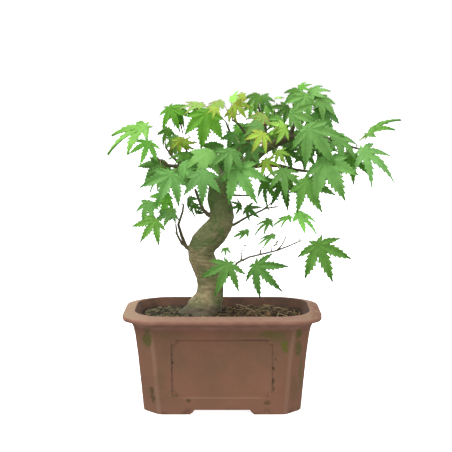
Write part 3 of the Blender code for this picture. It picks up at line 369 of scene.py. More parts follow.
def leaf_material():
    n = Nodes("leaf_blade")
    uv = n.add("ShaderNodeUVMap", uv_map="veins").outputs[0]
    u, v = n.axes(uv)[:2]
    base = n.add("ShaderNodeAttribute", attribute_name="leaf_colour").outputs["Color"]
    flags = n.axes(n.add("ShaderNodeAttribute", attribute_name="leaf_edge").outputs["Vector"])
    across = n.math("ABSOLUTE", n.math("MULTIPLY", n.math("SUBTRACT", u, 0.5), 2.0))
    midrib = n.ramp(across, 0.09, 0.02)
    slanted = n.math("SUBTRACT", n.math("MULTIPLY", v, 9.0), n.math("MULTIPLY", across, 1.2))
    chevron = n.math("FRACT", slanted)
    vein = n.ramp(n.math("ABSOLUTE", n.math("SUBTRACT", chevron, 0.5)), 0.10, 0.02)
    vein = n.math("MULTIPLY", vein, n.ramp(across, 0.95, 0.6))
    lines = n.math("MAXIMUM", midrib, n.math("MULTIPLY", vein, 0.4))
    pos = n.position()
    mottle = n.noise(pos, 120.0, 4.0, 0.6)
    cells = n.noise(pos, 900.0, 2.0, 0.5)
    deep = n.mix(1.0, base, (0.60, 0.70, 0.52, 1), "MULTIPLY")
    colour = n.mix(n.ramp(mottle, 0.35, 0.68, 0.0, 0.5), base, deep)
    colour = n.mix(n.math("MULTIPLY", lines, 0.32), colour, n.mix(0.55, colour, linear(186, 220, 150)))
    edge = n.math("MULTIPLY", n.ramp(across, 0.5, 0.98), flags[0])
    ragged = n.ramp(n.noise(pos, 260.0, 3.0, 0.6), 0.3, 0.6, 0.4, 1.0)
    edge = n.math("MULTIPLY", edge, ragged, True)
    colour = n.mix(edge, colour, linear(188, 112, 72))
    blush = n.math("MULTIPLY", flags[1], n.ramp(mottle, 0.35, 0.65), True)
    colour = n.mix(blush, colour, linear(198, 162, 78))
    relief = n.math("ADD", n.math("MULTIPLY", lines, -1.0), n.math("MULTIPLY", cells, 0.3))
    bump = n.bump(relief, 0.4, 0.0004)
    top = n.principled(colour, 0.5, bump, 0.32)
    glow = n.add("ShaderNodeBsdfTranslucent")
    n.put(glow, "Color", n.mix(0.45, colour, linear(128, 190, 30)))
    n.put(glow, "Normal", bump)
    both = n.add("ShaderNodeMixShader")
    n.put(both, 0, 0.34)
    n.tree.links.new(top.outputs[0], both.inputs[1])
    n.tree.links.new(glow.outputs[0], both.inputs[2])
    return n.output(both)


def stalk_material():
    n = Nodes("leaf_stalk")
    base = n.add("ShaderNodeAttribute", attribute_name="leaf_colour").outputs["Color"]
    tone = n.noise(n.position(), 120.0, 3.0, 0.6)
    darker = n.mix(1.0, base, (0.75, 0.62, 0.5, 1), "MULTIPLY")
    colour = n.mix(n.ramp(tone, 0.3, 0.7, 0.0, 0.5), base, darker)
    bump = n.bump(n.noise(n.position(), 900.0, 2.0, 0.5), 0.3, 0.0002)
    return n.output(n.principled(colour, 0.45, bump, 0.4))


def soil_material():
    n = Nodes("soil")
    local = n.place(n.position(), move=tuple(-POT))
    x = n.axes(local)[0]
    base = n.add("ShaderNodeAttribute", attribute_name="grain").outputs["Color"]
    fine = n.noise(local, 700.0, 4.0, 0.7)
    side = n.ramp(x, -0.03, 0.02)
    grey_share = n.ramp(n.noise(local, 160.0, 4.0, 0.6), 0.35, 0.65)
    brown_share = n.ramp(n.noise(local, 150.0, 4.0, 0.6), 0.35, 0.65)
    left = n.mix(grey_share, linear(58, 58, 46), linear(102, 97, 76))
    right = n.mix(brown_share, linear(64, 50, 38), linear(100, 84, 62))
    colour = n.mix(side, left, right)
    colour = n.mix(0.8, colour, n.mix(1.0, colour, base, "MULTIPLY"))
    colour = n.mix(n.ramp(fine, 0.35, 0.7, 0.0, 0.5), colour, linear(46, 40, 30))
    bump = n.bump(fine, 0.7, 0.0006)
    return n.output(n.principled(colour, 0.95, bump, 0.15))


def plain_material(name, dark, light, scale, rough, metallic=0.0, bump_mm=0.2):
    n = Nodes(name)
    pos = n.position()
    tone = n.noise(pos, scale, 4.0, 0.6)
    colour = n.mix(n.ramp(tone, 0.3, 0.7), dark, light)
    bump = n.bump(n.noise(pos, scale * 6.0, 3.0, 0.6), 0.4, bump_mm * MM)
    return n.output(n.principled(colour, n.ramp(tone, 0.3, 0.7, rough, rough + 0.15), bump, 0.4, metallic))


CLAY = clay_material()
BARK = bark_material()
BLADE = leaf_material()
STALK = stalk_material()
SOIL = soil_material()
STRAW = plain_material("straw", linear(112, 92, 62), linear(176, 154, 110), 300.0, 0.6)
WIRE = plain_material("wire", linear(52, 44, 38), linear(84, 72, 60), 200.0, 0.35, 0.8)
PLASTIC = plain_material("mesh_plastic", linear(24, 24, 25), linear(44, 44, 46), 200.0, 0.5)

# ------------------------------------------------------------------ camera and light
LENS_MM = 85.13
SENSOR_MM = 36.0
CAMERA_SIDE = 0.0039  # to the right of the pot's middle
CAMERA_BACK = 1.100
CAMERA_UP = 0.3348
CAMERA_DOWN_DEGREES = 7.5
SKY_LOW = 0.48  # strength of the light from below the horizon
SKY_HIGH = 1.42  # strength of the light from overhead
BACKDROP = 1.02  # the white that the camera sees behind the plant
FLOOR_GLOW = 0.9  # lifts the floor to the same white
camera_data = bpy.data.cameras.new("camera")
camera_data.lens = LENS_MM
camera_data.sensor_width = SENSOR_MM
camera_data.clip_end = 30.0
camera = bpy.data.objects.new("camera", camera_data)
bpy.context.scene.collection.objects.link(camera)
camera.location = (POT.x + CAMERA_SIDE, POT.y - CAMERA_BACK, CAMERA_UP)
camera.rotation_euler = (math.radians(90.0 - CAMERA_DOWN_DEGREES), 0.0, 0.0)
bpy.context.scene.camera = camera
bpy.context.scene.view_settings.view_transform = "Standard"
bpy.context.scene.view_settings.look = "None"

world = bpy.data.worlds.new("studio")
world.use_nodes = True
sky = world.node_tree
sky.nodes.clear()
direction = sky.nodes.new("ShaderNodeTexCoord")
split = sky.nodes.new("ShaderNodeSeparateXYZ")
fade = sky.nodes.new("ShaderNodeMapRange")
fade.interpolation_type = "SMOOTHSTEP"
for slot, value in (("From Min", -0.6), ("From Max", 0.9), ("To Min", SKY_LOW), ("To Max", SKY_HIGH)):
    fade.inputs[slot].default_value = value
light_sky = sky.nodes.new("ShaderNodeBackground")
light_sky.inputs["Color"].default_value = (0.96, 0.99, 1.0, 1.0)
white_sky = sky.nodes.new("ShaderNodeBackground")
white_sky.inputs["Color"].default_value = (1.0, 1.0, 1.0, 1.0)
white_sky.inputs["Strength"].default_value = BACKDROP
path = sky.nodes.new("ShaderNodeLightPath")
choose = sky.nodes.new("ShaderNodeMixShader")
sky_out = sky.nodes.new("ShaderNodeOutputWorld")
for a_socket, b_socket in (
    (direction.outputs["Generated"], split.inputs[0]),
    (split.outputs["Z"], fade.inputs["Value"]),
    (fade.outputs["Result"], light_sky.inputs["Strength"]),
    (path.outputs["Is Camera Ray"], choose.inputs[0]),
    (light_sky.outputs[0], choose.inputs[1]),
    (white_sky.outputs[0], choose.inputs[2]),
    (choose.outputs[0], sky_out.inputs["Surface"]),
):
    sky.links.new(a_socket, b_socket)
bpy.context.scene.world = world


def lamp(name, place, aim, size, power, colour=(1.0, 1.0, 1.0)):
    """A round soft light turned towards a point: size in metres, power in watts."""
    data = bpy.data.lights.new(name, "AREA")
    data.shape = "DISK"
    data.size = size
    data.energy = power
    data.color = colour
    obj = bpy.data.objects.new(name, data)
    bpy.context.scene.collection.objects.link(obj)
    obj.location = place
    way = Vector(aim) - Vector(place)
    obj.rotation_euler = way.to_track_quat("-Z", "Y").to_euler()


lamp("key", (POT.x - 0.8, POT.y - 1.0, 1.6), (POT.x, POT.y, 0.2), 1.1, 15.0, (1.0, 0.98, 0.95))
lamp("top", (POT.x - 0.2, POT.y + 0.3, 1.8), (POT.x, POT.y, 0.2), 1.0, 10.0)

floor_mesh = bpy.data.meshes.new("floor")
floor_mesh.from_pydata([(-9, -4, 0), (9, -4, 0), (9, 14, 0), (-9, 14, 0)], [], [(0, 1, 2, 3)])
floor_nodes = Nodes("floor")
floor_shader = floor_nodes.principled((0.86, 0.86, 0.86, 1.0), 0.9, None, 0.1)
floor_shader.inputs["Emission Color"].default_value = (1.0, 1.0, 1.0, 1.0)
floor_shader.inputs["Emission Strength"].default_value = FLOOR_GLOW
floor = new_object("floor", floor_mesh, floor_nodes.output(floor_shader))
floor.visible_diffuse = False
floor.visible_glossy = False

# ------------------------------------------------------------------ pot
EDGE_SOFT = 0.0009  # how far the pot's edges are rounded

points, faces = welded(nodes["pot"])
pot_mesh = bpy.data.meshes.new("clay_pot")
shape = bmesh.new()
for p in points:
    shape.verts.new(p)
shape.verts.ensure_lookup_table()
for f in faces:
    shape.faces.new([shape.verts[i] for i in f])
bmesh.ops.dissolve_limit(shape, angle_limit=math.radians(1.0), verts=shape.verts, edges=shape.edges)
shape.to_mesh(pot_mesh)
shape.free()
pot = new_object("clay_pot", pot_mesh, CLAY)
soften = pot.modifiers.new("soften", "BEVEL")
soften.width = EDGE_SOFT
soften.segments = 3
soften.limit_method = "ANGLE"
soften.angle_limit = math.radians(28.0)
soften.harden_normals = False
applied(pot)
for poly in pot.data.polygons:
    poly.use_smooth = True
pot.data.set_sharp_from_angle(angle=math.radians(35.0))
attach(pot, "root")
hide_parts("pot")

# ------------------------------------------------------------------ wood
BARK_VOXEL = 0.00058
WRINKLE_STEP = 0.0046  # height between two wrinkles round the trunk
WRINKLES_FROM, WRINKLES_TO = 0.125, 0.188  # the stretch of trunk that is wrinkled
WRINKLE_DEEP = 0.00028
SWELLING, KNOT, GRAIN = 0.0007, 0.0004, 0.00016  # heights of the bark's relief
TWIG_SKIN, TWIG_GRAIN = 0.00020, 0.00010

points, faces = welded(nodes["wood"])
wood_mesh = bpy.data.meshes.new("tree_wood")
wood_mesh.from_pydata(points, [], faces)
wood = new_object("tree_wood", wood_mesh, BARK)
WOOD_TREE = BVHTree.FromPolygons(points, faces)
remesh = wood.modifiers.new("fine", "REMESH")
remesh.mode = "VOXEL"
remesh.voxel_size = BARK_VOXEL
relax = wood.modifiers.new("relax", "SMOOTH")
relax.factor = 0.5
relax.iterations = 4
applied(wood)


def within(value):
    return max(0.0, min(1.0, value))


def shape_bark(mesh):
    """Wrinkles, swellings and knots on the trunk; the twigs stay slender."""
    count = len(mesh.vertices)
    co = np.empty(count * 3)
    no = np.empty(count * 3)
    mesh.vertices.foreach_get("co", co)
    mesh.vertex_normals.foreach_get("vector", no)
    co = co.reshape(-1, 3)
    no = no.reshape(-1, 3)
    thin = np.zeros(count)
    for i in range(count):
        p = Vector(co[i])
        d = Vector(no[i])
        hit = WOOD_TREE.ray_cast(p - d * 0.0004, -d, 0.05)
        depth = hit[3] if hit[3] is not None else 0.002
        thick = within((depth - 0.003) / 0.012)
        thin[i] = 1.0 - thick
        if thick <= 0.0:
            grain = noise.noise(p * 500.0)
            co[i] += no[i] * (TWIG_SKIN + TWIG_GRAIN * grain)
            continue
        z = p.z
        broad = noise.noise(p * 55.0)
        lump = noise.noise(p * 160.0 + Vector((3, 1, 7)))
        warp = noise.noise(Vector((p.x * 60.0, p.y * 60.0, z * 25.0))) * 0.004
        ring = math.sin((z + warp) * 2.0 * math.pi / WRINKLE_STEP)
        band = within((z - WRINKLES_FROM) / 0.02) * within((WRINKLES_TO - z) / 0.015)
        fine = noise.noise(Vector((p.x, p.y, z * 2.0)) * 420.0)
        wrinkle = WRINKLE_DEEP * band * max(0.0, ring) ** 2
        move = SWELLING * broad + KNOT * lump + GRAIN * fine - wrinkle
        co[i] += no[i] * (move * thick)
    mesh.vertices.foreach_set("co", co.ravel())
    mesh.update()
    layer = mesh.attributes.new("thin", "FLOAT", "POINT")
    layer.data.foreach_set("value", thin)


shape_bark(wood.data)
smooth(wood.data)
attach(wood, "root")
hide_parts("wood")

# ------------------------------------------------------------------ leaves
# lobes: angle from the middle one, length as a share of the leaf's, teeth on each side
LOBES = ((0.0, 1.0, 6), (43.0, 0.92, 6), (82.0, 0.60, 4), (128.0, 0.24, 2))
DIPS = ((24.0, 0.33), (64.0, 0.29), (102.0, 0.20), (180.0, 0.11))  # where lobes part: angle, share
LEAF_THICK = 0.00022
LEAF_GAIN = 1.29  # how much lighter a leaf's own colour is than it looks on screen
SMALL_LEAF = 0.016  # below this length a leaf has fewer teeth
SPRAY_LEAF = 0.026  # below this length a leaf of the lowest branch lies flatter
HUB_LINKS = 13  # the fewest edges that meet at the middle of a CAD blade
HUB_GAP = 0.0025  # a blade's two middle points, above and below, are nearer than this
BUD_REACH = 0.0022  # CAD points this near the wood's nearest one belong to the bud
STALK_REACH = 0.0019  # CAD points this near each other belong to one stalk's middle
STALK_THIN, STALK_EXTRA = 0.00026, 0.00014  # radius of a small leaf's stalk, and a large one's extra
LARGE_LEAF = 0.035


def flat_point(angle, share):
    t = math.radians(angle)
    return Vector((math.cos(t) * share, math.sin(t) * share))


def lobe_list(web):
    """Every lobe: its angle, length, the dips on its left and right, and its teeth."""
    dips = [(angle, share * web) for angle, share in DIPS]
    out = [(0.0, 1.0, dips[0], (-dips[0][0], dips[0][1]), LOBES[0][2])]
    for i in range(1, len(LOBES)):
        angle, share, teeth = LOBES[i]
        inner, outer = dips[i - 1], dips[i]
        out.append((angle, share, outer, inner, teeth))
        out.append((-angle, share, (-inner[0], inner[1]), (-outer[0], outer[1]), teeth))
    return out


def lobe_rows(length, a_in, b_in, teeth, wide, inner_rows, jitter):
    """Rows across one lobe: left edge, middle and right edge, share along it, share past the dips."""
    middle = (a_in[0] + b_in[0]) / 2.0
    rows = []
    for i in range(inner_rows + 1):
        t = i / inner_rows
        m = t * middle
        rows.append((t * a_in[0], t * a_in[1], m, t * b_in[0], t * b_in[1], m / length, 0.0))
    marks = []
    for k in range(teeth):
        if k:
            marks.append((k / teeth, 0.82, 0.0, 0.0))
        reach = jitter.uniform(0.7, 1.3)
        marks.append(((k + 0.70) / teeth, 1.0 + 0.17 * reach, 0.30 / teeth, 0.015 * reach))
    for q, share, forward, out in marks:
        row = []
        for dip in (a_in, b_in):
            q_edge = min(1.0, q + forward)
            x = dip[0] + (length - dip[0]) * q_edge
            y = abs(dip[1]) * (1.0 - q) ** 2 + 0.37 * wide * length * q ** 0.8 * (1.0 - q) ** 1.15
            y = y * share + out * length * (1.0 - q)
            row.append((x, math.copysign(y, dip[1])))
        x_mid = middle + (length - middle) * q
        rows.append((row[0][0], row[0][1], x_mid, row[1][0], row[1][1], x_mid / length, q))
    rows.append((length, 0.0, length, length, 0.0, 1.0, 1.0))
    return rows


def blade_template(seed, small, fall, webs):
    """Points (x, y, height), faces and vein coordinates of one leaf, unit length, upper side +Z."""
    local = random.Random(seed)
    columns = 2 if small else 3
    raw, raw_faces, veins = [], [], []
    droop = fall * local.uniform(0.85, 1.12)
    fold = local.uniform(0.04, 0.26)
    web = local.uniform(*webs)
    broad = local.uniform(0.95, 1.2)
    for angle, length, left, right, teeth in lobe_list(web):
        axis = flat_point(angle, 1.0)
        side = Vector((-axis.y, axis.x))
        if angle:
            length *= local.uniform(0.92, 1.04)
        bend = local.uniform(-0.12, 0.12)
        curl = local.uniform(-0.04, 0.26)
        twist = local.uniform(-0.4, 0.4)
        wide = broad * local.uniform(0.92, 1.08)
        a = flat_point(*left)
        b = flat_point(*right)
        a_in = (a.dot(axis), a.dot(side))
        b_in = (b.dot(axis), b.dot(side))
        rows = lobe_rows(length, a_in, b_in, max(2, teeth - (2 if small else 0)), wide, 3, local)
        start = len(raw)
        for ax, ay, mx, bx, by, s, q in rows:
            for j in range(-columns, columns + 1):
                t = abs(j) / columns
                ex, ey = (ax, ay) if j < 0 else (bx, by)
                x = mx + (ex - mx) * t
                y = ey * t
                spread = y + bend * length * q * q * 0.5
                plane = axis * x + side * spread
                radius = math.hypot(x, y)
                h = -droop * radius * radius - 0.02
                h += fold * radius * t * (1.0 - 0.75 * q)
                h -= curl * max(0.0, s - 0.40) ** 2 * length * 1.6 * min(1.0, q * 3.0)
                h += twist * y * q
                h += 0.008 * math.sin(s * 9.0 * 2 * math.pi - t * 4.0) * t * q
                raw.append(Vector((plane.x, plane.y, h)))
                veins.append((0.5 + 0.5 * (t if j < 0 else -t), s))
        width = 2 * columns + 1
        for r in range(len(rows) - 1):
            for c in range(width - 1):
                i = start + r * width + c
                raw_faces.append((i, i + 1, i + width + 1, i + width))
    index, points, remap = {}, [], []
    for p in raw:
        key = tuple(round(c * 2e4) for c in p)
        if key not in index:
            index[key] = len(points)
            points.append(p)
        remap.append(index[key])
    faces, uvs = [], []
    for face in raw_faces:
        corners = []
        for i in face:
            if remap[i] not in [c[0] for c in corners]:
                corners.append((remap[i], veins[i]))
        if len(corners) > 2:
            faces.append(tuple(c[0] for c in corners))
            uvs.append(tuple(c[1] for c in corners))
    return points, faces, uvs


def thick_blade(points, faces, uvs, thickness):
    """The same leaf as a closed thin body: upper side, under side and rim."""
    normals = [Vector() for _ in points]
    for face in faces:
        a, b, c = (points[i] for i in face[:3])
        way = (b - a).cross(c - a)
        for i in face:
            normals[i] += way
    count = len(points)
    under = []
    for p, way in zip(points, normals):
        under.append(p - (way.normalized() if way.length > 1e-12 else Vector((0, 0, 1))) * thickness)
    edges = {}
    for face, uv in zip(faces, uvs):
        for k, i in enumerate(face):
            j = (k + 1) % len(face)
            edges[(i, face[j])] = (uv[k], uv[j])
    out_faces = list(faces)
    out_uvs = list(uvs)
    for face, uv in zip(faces, uvs):
        out_faces.append(tuple(i + count for i in reversed(face)))
        out_uvs.append(tuple(reversed(uv)))
    for (i, j), (uv_i, uv_j) in edges.items():
        if (j, i) not in edges:
            out_faces.append((j, i, i + count, j + count))
            out_uvs.append((uv_j, uv_i, uv_i, uv_j))
    return points + under, out_faces, out_uvs


def find_blades(points, faces):
    """The blades in a CAD leaf node: base, direction, upper normal and length of each."""
    near = [set() for _ in points]
    for face in faces:
        for i, a in enumerate(face):
            b = face[(i + 1) % len(face)]
            near[a].add(b)
            near[b].add(a)
    hubs = [i for i, links in enumerate(near) if len(links) >= HUB_LINKS]
    blades = []
    used = set()
    for i in hubs:
        if i in used:
            continue
        mates = [j for j in hubs if (points[i] - points[j]).length < HUB_GAP]
        used.update(mates)
        ring = set()
        for j in mates:
            ring |= near[j]
        ring -= set(mates)
        ring = sorted(ring)
        hub = sum((points[j] for j in mates), Vector()) / len(mates)
        middle = sum((points[j] for j in ring), Vector()) / len(ring)
        if len(mates) > 1:
            normal = (points[mates[0]] - points[mates[1]]).normalized()
        else:
            normal = (hub - middle).normalized()
        if (middle - hub).dot(normal) > 0:
            normal.negate()
        pull = Vector()
        reach = 0.0
        for j in ring:
            way = points[j] - hub
            flat = way - normal * way.dot(normal)
            pull += flat * flat.length
            reach = max(reach, way.length)
        ahead = pull - normal * pull.dot(normal)
        ahead.normalize()
        tip = max((points[j] - hub for j in ring), key=lambda way: way.length)
        fall = -tip.dot(normal) / max(1e-6, (tip - normal * tip.dot(normal)).length)
        blades.append({
            "hub": hub, "ahead": ahead, "normal": normal, "size": reach / math.hypot(1.0, fall),
            "droop": fall - 0.02, "ring": set(ring) | set(mates),
        })
    return blades


def find_stalks(points, blades):
    """The bud where a node's stalks start, and each stalk's middle."""
    on_blades = set()
    for blade in blades:
        on_blades |= blade["ring"]
    rest = []
    for i, p in enumerate(points):
        if i in on_blades:
            continue
        if all((p - blade["hub"]).length > max(0.003, blade["size"] * 0.2) for blade in blades):
            rest.append(p)
    rest = rest or [points[i] for i in range(len(points)) if i not in on_blades] or list(points)
    ranked = sorted(rest, key=lambda p: WOOD_TREE.find_nearest(p)[3])
    bud = ranked[0]
    group = [p for p in rest if (p - bud).length < BUD_REACH]
    bud = sum(group, Vector()) / len(group)
    rest = [p for p in rest if (p - bud).length > 0.0026]
    clusters = []
    for p in rest:
        for cluster in clusters:
            if (p - cluster[0]).length < STALK_REACH:
                cluster.append(p)
                break
        else:
            clusters.append([p])
    middles = [sum(c, Vector()) / len(c) for c in clusters if len(c) >= 3]
    for blade in blades:
        line = blade["hub"] - bud
        best = bud + line * 0.55
        cost = line.length * 0.45
        for m in middles:
            share = (m - bud).dot(line) / line.length_squared
            if not 0.3 < share < 0.8:
                continue
            off = (m - (bud + line * share)).length
            if off < cost:
                cost = off
                best = m
        blade["middle"] = best
    return bud


# how far the lobes are joined: broad umbrella leaves at the front of the crown, deeply cut ones lower down
WEBBED = (0.95, 1.32)
DEEP_CUT = (0.52, 0.66)
USUAL = (0.72, 1.0)
WEBBED_LEAVES = ("leaf_mid_left", "leaf_front", "leaf_big_top_left", "leaf_left_high", "leaf_right_large",
                 "leaf_apex_left", "leaf_apex_right_a", "leaf_low_right_big", "leaf_back")
DEEP_LEAVES = ("leaf_branch", "leaf_left_outer", "leaf_left_light", "leaf_right_tip", "leaf_low_right_in",
               "leaf_low_right_dark", "leaf_collar", "leaf_lime", "leaf_right_upper_dark", "leaf_knot_low")
FLAT_SPRAY = ("leaf_branch_mid", "leaf_branch_spur", "leaf_branch_twig", "leaf_branch_tip")

# what each leaf looks like: screen colour, red at the edge, yellow blush; from left to right in a group;
# the screen colours carry painted light: painted shade in the darker greens, painted light shining through
# in the bright yellow-green, painted sky sheen in the bluish greens
MID = ((102, 157, 70), 0.0, 0.0)
# painted sky sheen: a bluish green for a leaf top lit from above
SHEEN_BLUISH = ((112, 168, 90), 0.0, 0.0)
# painted sky sheen, dimmer: a darker bluish green
SHEEN_DIM = ((98, 151, 78), 0.0, 0.0)
FRESH = ((116, 170, 72), 0.0, 0.0)
SHEEN = ((124, 180, 104), 0.0, 0.0)
SHADE = ((88, 140, 66), 0.0, 0.0)
# painted light shining through: a leaf lit from behind
BACKLIT = ((98, 164, 44), 0.0, 0.0)
# painted shade: a saturated dark green for a leaf in shadow
SHADED_DEEP = ((72, 124, 32), 0.0, 0.0)
# painted shade: a dark green for a leaf in shadow
SHADED_DARK = ((70, 114, 42), 0.0, 0.0)
LIGHT = ((140, 206, 98), 0.05, 0.0)
PALE = ((160, 214, 128), 0.15, 0.05)
LIME = ((146, 204, 88), 0.30, 0.20)
YOUNG = ((152, 202, 74), 0.85, 0.26)
PINK = ((120, 172, 76), 0.8, 0.05)
RUST = ((170, 130, 60), 1.0, 0.8)
LOOKS = {
    "leaf_left_outer": (FRESH, BACKLIT, BACKLIT),
    "leaf_left_light": (LIGHT, SHADE),
    "leaf_left_low_tip": (MID,),
    "leaf_left_high": (SHEEN_BLUISH, SHADED_DARK),
    "leaf_left_curled_a": (SHADED_DEEP, YOUNG),
    "leaf_left_curled_b": (YOUNG, YOUNG),
    "leaf_left_behind": (SHEEN,),
    "leaf_big_top_left": (PINK, BACKLIT),
    "leaf_top_left_young": (YOUNG, PINK),
    "leaf_top_yellow": (YOUNG, YOUNG, YOUNG),
    "leaf_top_light": (LIGHT, LIGHT),
    "leaf_under_top_left": (SHADED_DARK,),
    "leaf_mid_left_front": (SHEEN_BLUISH, SHEEN_BLUISH),
    "leaf_mid_left_inner": (SHEEN_BLUISH, SHADED_DEEP, SHADED_DARK),
    "leaf_front_pair": (SHEEN_DIM, SHEEN_DIM),
    "leaf_front_right": (SHADED_DARK, SHADE, SHEEN_DIM),
    "leaf_front_large": (SHEEN_BLUISH,),
    "leaf_front_spur": (SHEEN_DIM,),
    "leaf_knot_pair": (SHEEN_BLUISH, BACKLIT),
    "leaf_knot_low": (FRESH,),
    "leaf_knot_small": (YOUNG, SHADE),
    "leaf_collar": (SHADED_DARK, MID, SHADED_DARK),
    "leaf_right_upper_dark": (SHADED_DARK, SHADED_DARK),
    "leaf_high_mid_pair": (SHADED_DEEP, SHADE),
    "leaf_high_mid_pale": (PALE, PALE),
    "leaf_high_mid_fold": (SHADE, PINK),
    "leaf_high_bud": (PALE, RUST, MID),
    "leaf_lime_front": (YOUNG, LIME),
    "leaf_lime_low": (YOUNG, LIME),
    "leaf_apex_sprig": (SHADED_DEEP, BACKLIT),
    "leaf_apex_left": (SHEEN_BLUISH, SHEEN),
    "leaf_apex_centre": (SHADED_DARK, SHEEN_BLUISH, SHADED_DARK),
    "leaf_apex_right_a": (SHADE, SHEEN_BLUISH),
    "leaf_apex_right_b": (SHADED_DEEP, SHADE),
    "leaf_right_large": (SHEEN_DIM, SHADED_DARK),
    "leaf_right_second": (SHADED_DARK, SHEEN_DIM),
    "leaf_right_tip_low": (MID, SHEEN),
    "leaf_right_tip_high": (LIGHT, MID),
    "leaf_right_tip_back": (SHADED_DARK, SHADED_DARK),
    "leaf_right_under": (SHADED_DARK, BACKLIT),
    "leaf_low_right_big": (SHEEN_BLUISH,),
    "leaf_low_right_mid": (LIME, MID),
    "leaf_low_right_in": (SHADED_DARK, SHEEN_DIM),
    "leaf_low_right_dark": (SHADED_DEEP,),
    "leaf_branch_tip": (LIGHT, MID),
    "leaf_branch_twig": (LIME, LIGHT),
    "leaf_branch_mid": (MID, SHEEN),
    "leaf_branch_spur_far": (MID,),
    "leaf_branch_spur_near": (MID, SHEEN, MID),
    "leaf_branch_low": (SHADE, SHADE),
    "leaf_back_left": (MID, SHADE, SHEEN_BLUISH),
    "leaf_back_mid": (SHADE, MID, SHADED_DARK),
    "leaf_back_right": (SHEEN_BLUISH, SHADE, MID),
    "leaf_back_end": (MID, SHADE, SHEEN_BLUISH),
}


def stalk_points(path, radius, sides=6, steps=12):
    """A slender tapered tube through three points, on a smooth curve."""
    a, m, b = path
    control = m * 2.0 - (a + b) * 0.5
    spine = []
    for i in range(steps + 1):
        t = i / steps
        spine.append(a * (1 - t) ** 2 + control * 2 * t * (1 - t) + b * t * t)
    points, faces = [], []
    side = Vector((0.0, 1.0, 0.0))
    for i, p in enumerate(spine):
        way = (spine[min(i + 1, steps)] - spine[max(i - 1, 0)]).normalized()
        side = (side - way * side.dot(way)).normalized()
        other = way.cross(side)
        t = i / steps
        r = radius * (1.5 - 0.9 * min(1.0, t * 5.0)) if t < 0.2 else radius * (0.6 + 0.4 * t)
        for k in range(sides):
            turn = 2.0 * math.pi * k / sides
            points.append(p + side * (math.cos(turn) * r) + other * (math.sin(turn) * r))
    for i in range(steps):
        for k in range(sides):
            j = (k + 1) % sides
            faces.append((i * sides + k, i * sides + j, (i + 1) * sides + j, (i + 1) * sides + k))
    faces.append(tuple(reversed(range(sides))))
    faces.append(tuple(steps * sides + k for k in range(sides)))
    return points, faces


def build_leaves(name, node, number):
    points, faces = welded(node)
    blades = find_blades(points, faces)
    blades.sort(key=lambda blade: (round(blade["hub"].x, 3), blade["hub"].y))
    bud = find_stalks(points, blades)
    all_points, all_faces, all_uvs, colours, flags, mats = [], [], [], [], [], []
    looks = LOOKS.get(name, (MID, SHEEN_BLUISH))

    def add(pts, fcs, uvs, tints, flag, mat):
        first = len(all_points)
        all_points.extend(pts)
        all_faces.extend(tuple(first + i for i in f) for f in fcs)
        all_uvs.extend(uv for face in uvs for uv in face)
        colours.extend(tints)
        flags.extend([flag] * len(pts))
        mats.extend([mat] * len(fcs))

    for k, blade in enumerate(blades):
        (screen, red, blush) = looks[min(k, len(looks) - 1)]
        local = random.Random(number * 17 + k)
        shade = local.uniform(0.90, 1.10)
        warm = local.uniform(-0.05, 0.05)
        base = linear(*screen)
        shade *= LEAF_GAIN
        red_part = base[0] * shade * 1.10 * (1 + warm)
        tint = (red_part, base[1] * shade, base[2] * shade * 0.88 * (1 - warm), 1.0)
        pale = tuple(c * 0.75 + g * 0.25 for c, g in zip(tint, linear(150, 190, 130)))
        size = blade["size"]
        if name.startswith(FLAT_SPRAY) and size < SPRAY_LEAF:
            blade["droop"] *= 0.5
        webs = USUAL
        if name.startswith(WEBBED_LEAVES):
            webs = WEBBED
        elif name.startswith(DEEP_LEAVES):
            webs = DEEP_CUT
        pts, fcs, uvs = blade_template(number * 31 + k * 7 + 5, size < SMALL_LEAF, blade["droop"], webs)
        pts, fcs, uvs = thick_blade(pts, fcs, uvs, LEAF_THICK / size)
        half = len(pts) // 2
        ahead, normal = blade["ahead"], blade["normal"]
        across = normal.cross(ahead)
        placed = [blade["hub"] + (ahead * p.x + across * p.y + normal * p.z) * size for p in pts]
        add(placed, fcs, uvs, [tint] * half + [pale] * half, (red, blush, 0.0), 0)
        stalk_end = blade["hub"] - normal * (0.03 * size)
        nearest = WOOD_TREE.find_nearest(bud)[0]
        root = nearest + (nearest - bud).normalized() * 0.0006
        radius = STALK_THIN + STALK_EXTRA * min(1.0, size / LARGE_LEAF)
        pts, fcs = stalk_points((root, blade["middle"], stalk_end), radius)
        tones = ((138, 140, 78), (158, 116, 76), (142, 88, 68), (112, 126, 60))
        tone = linear(*tones[local.randrange(4)])
        add(pts, fcs, [[(0.5, 0.5)] * len(f) for f in fcs], [tone] * len(pts), (0.0, 0.0, 0.0), 1)
    mesh = bpy.data.meshes.new(name + "_visual")
    mesh.from_pydata(all_points, [], all_faces)
    mesh.materials.append(BLADE)
    mesh.materials.append(STALK)
    mesh.polygons.foreach_set("material_index", mats)
    layer = mesh.uv_layers.new(name="veins")
    layer.data.foreach_set("uv", np.array(all_uvs, dtype=np.float32).ravel())
    tint_layer = mesh.attributes.new("leaf_colour", "FLOAT_COLOR", "POINT")
    tint_layer.data.foreach_set("color", np.array(colours, dtype=np.float32).ravel())
    flag_layer = mesh.attributes.new("leaf_edge", "FLOAT_VECTOR", "POINT")
    flag_layer.data.foreach_set("vector", np.array(flags, dtype=np.float32).ravel())
    smooth(mesh)
    obj = new_object(name + "_visual", mesh)
    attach(obj, "root")
    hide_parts(name)
    return len(blades)


leaf_names = sorted(n for n in nodes if n.startswith("leaf_"))
leaf_total = 0
for number, name in enumerate(leaf_names):
    leaf_total += build_leaves(name, nodes[name], number)
print("leaves", leaf_total)

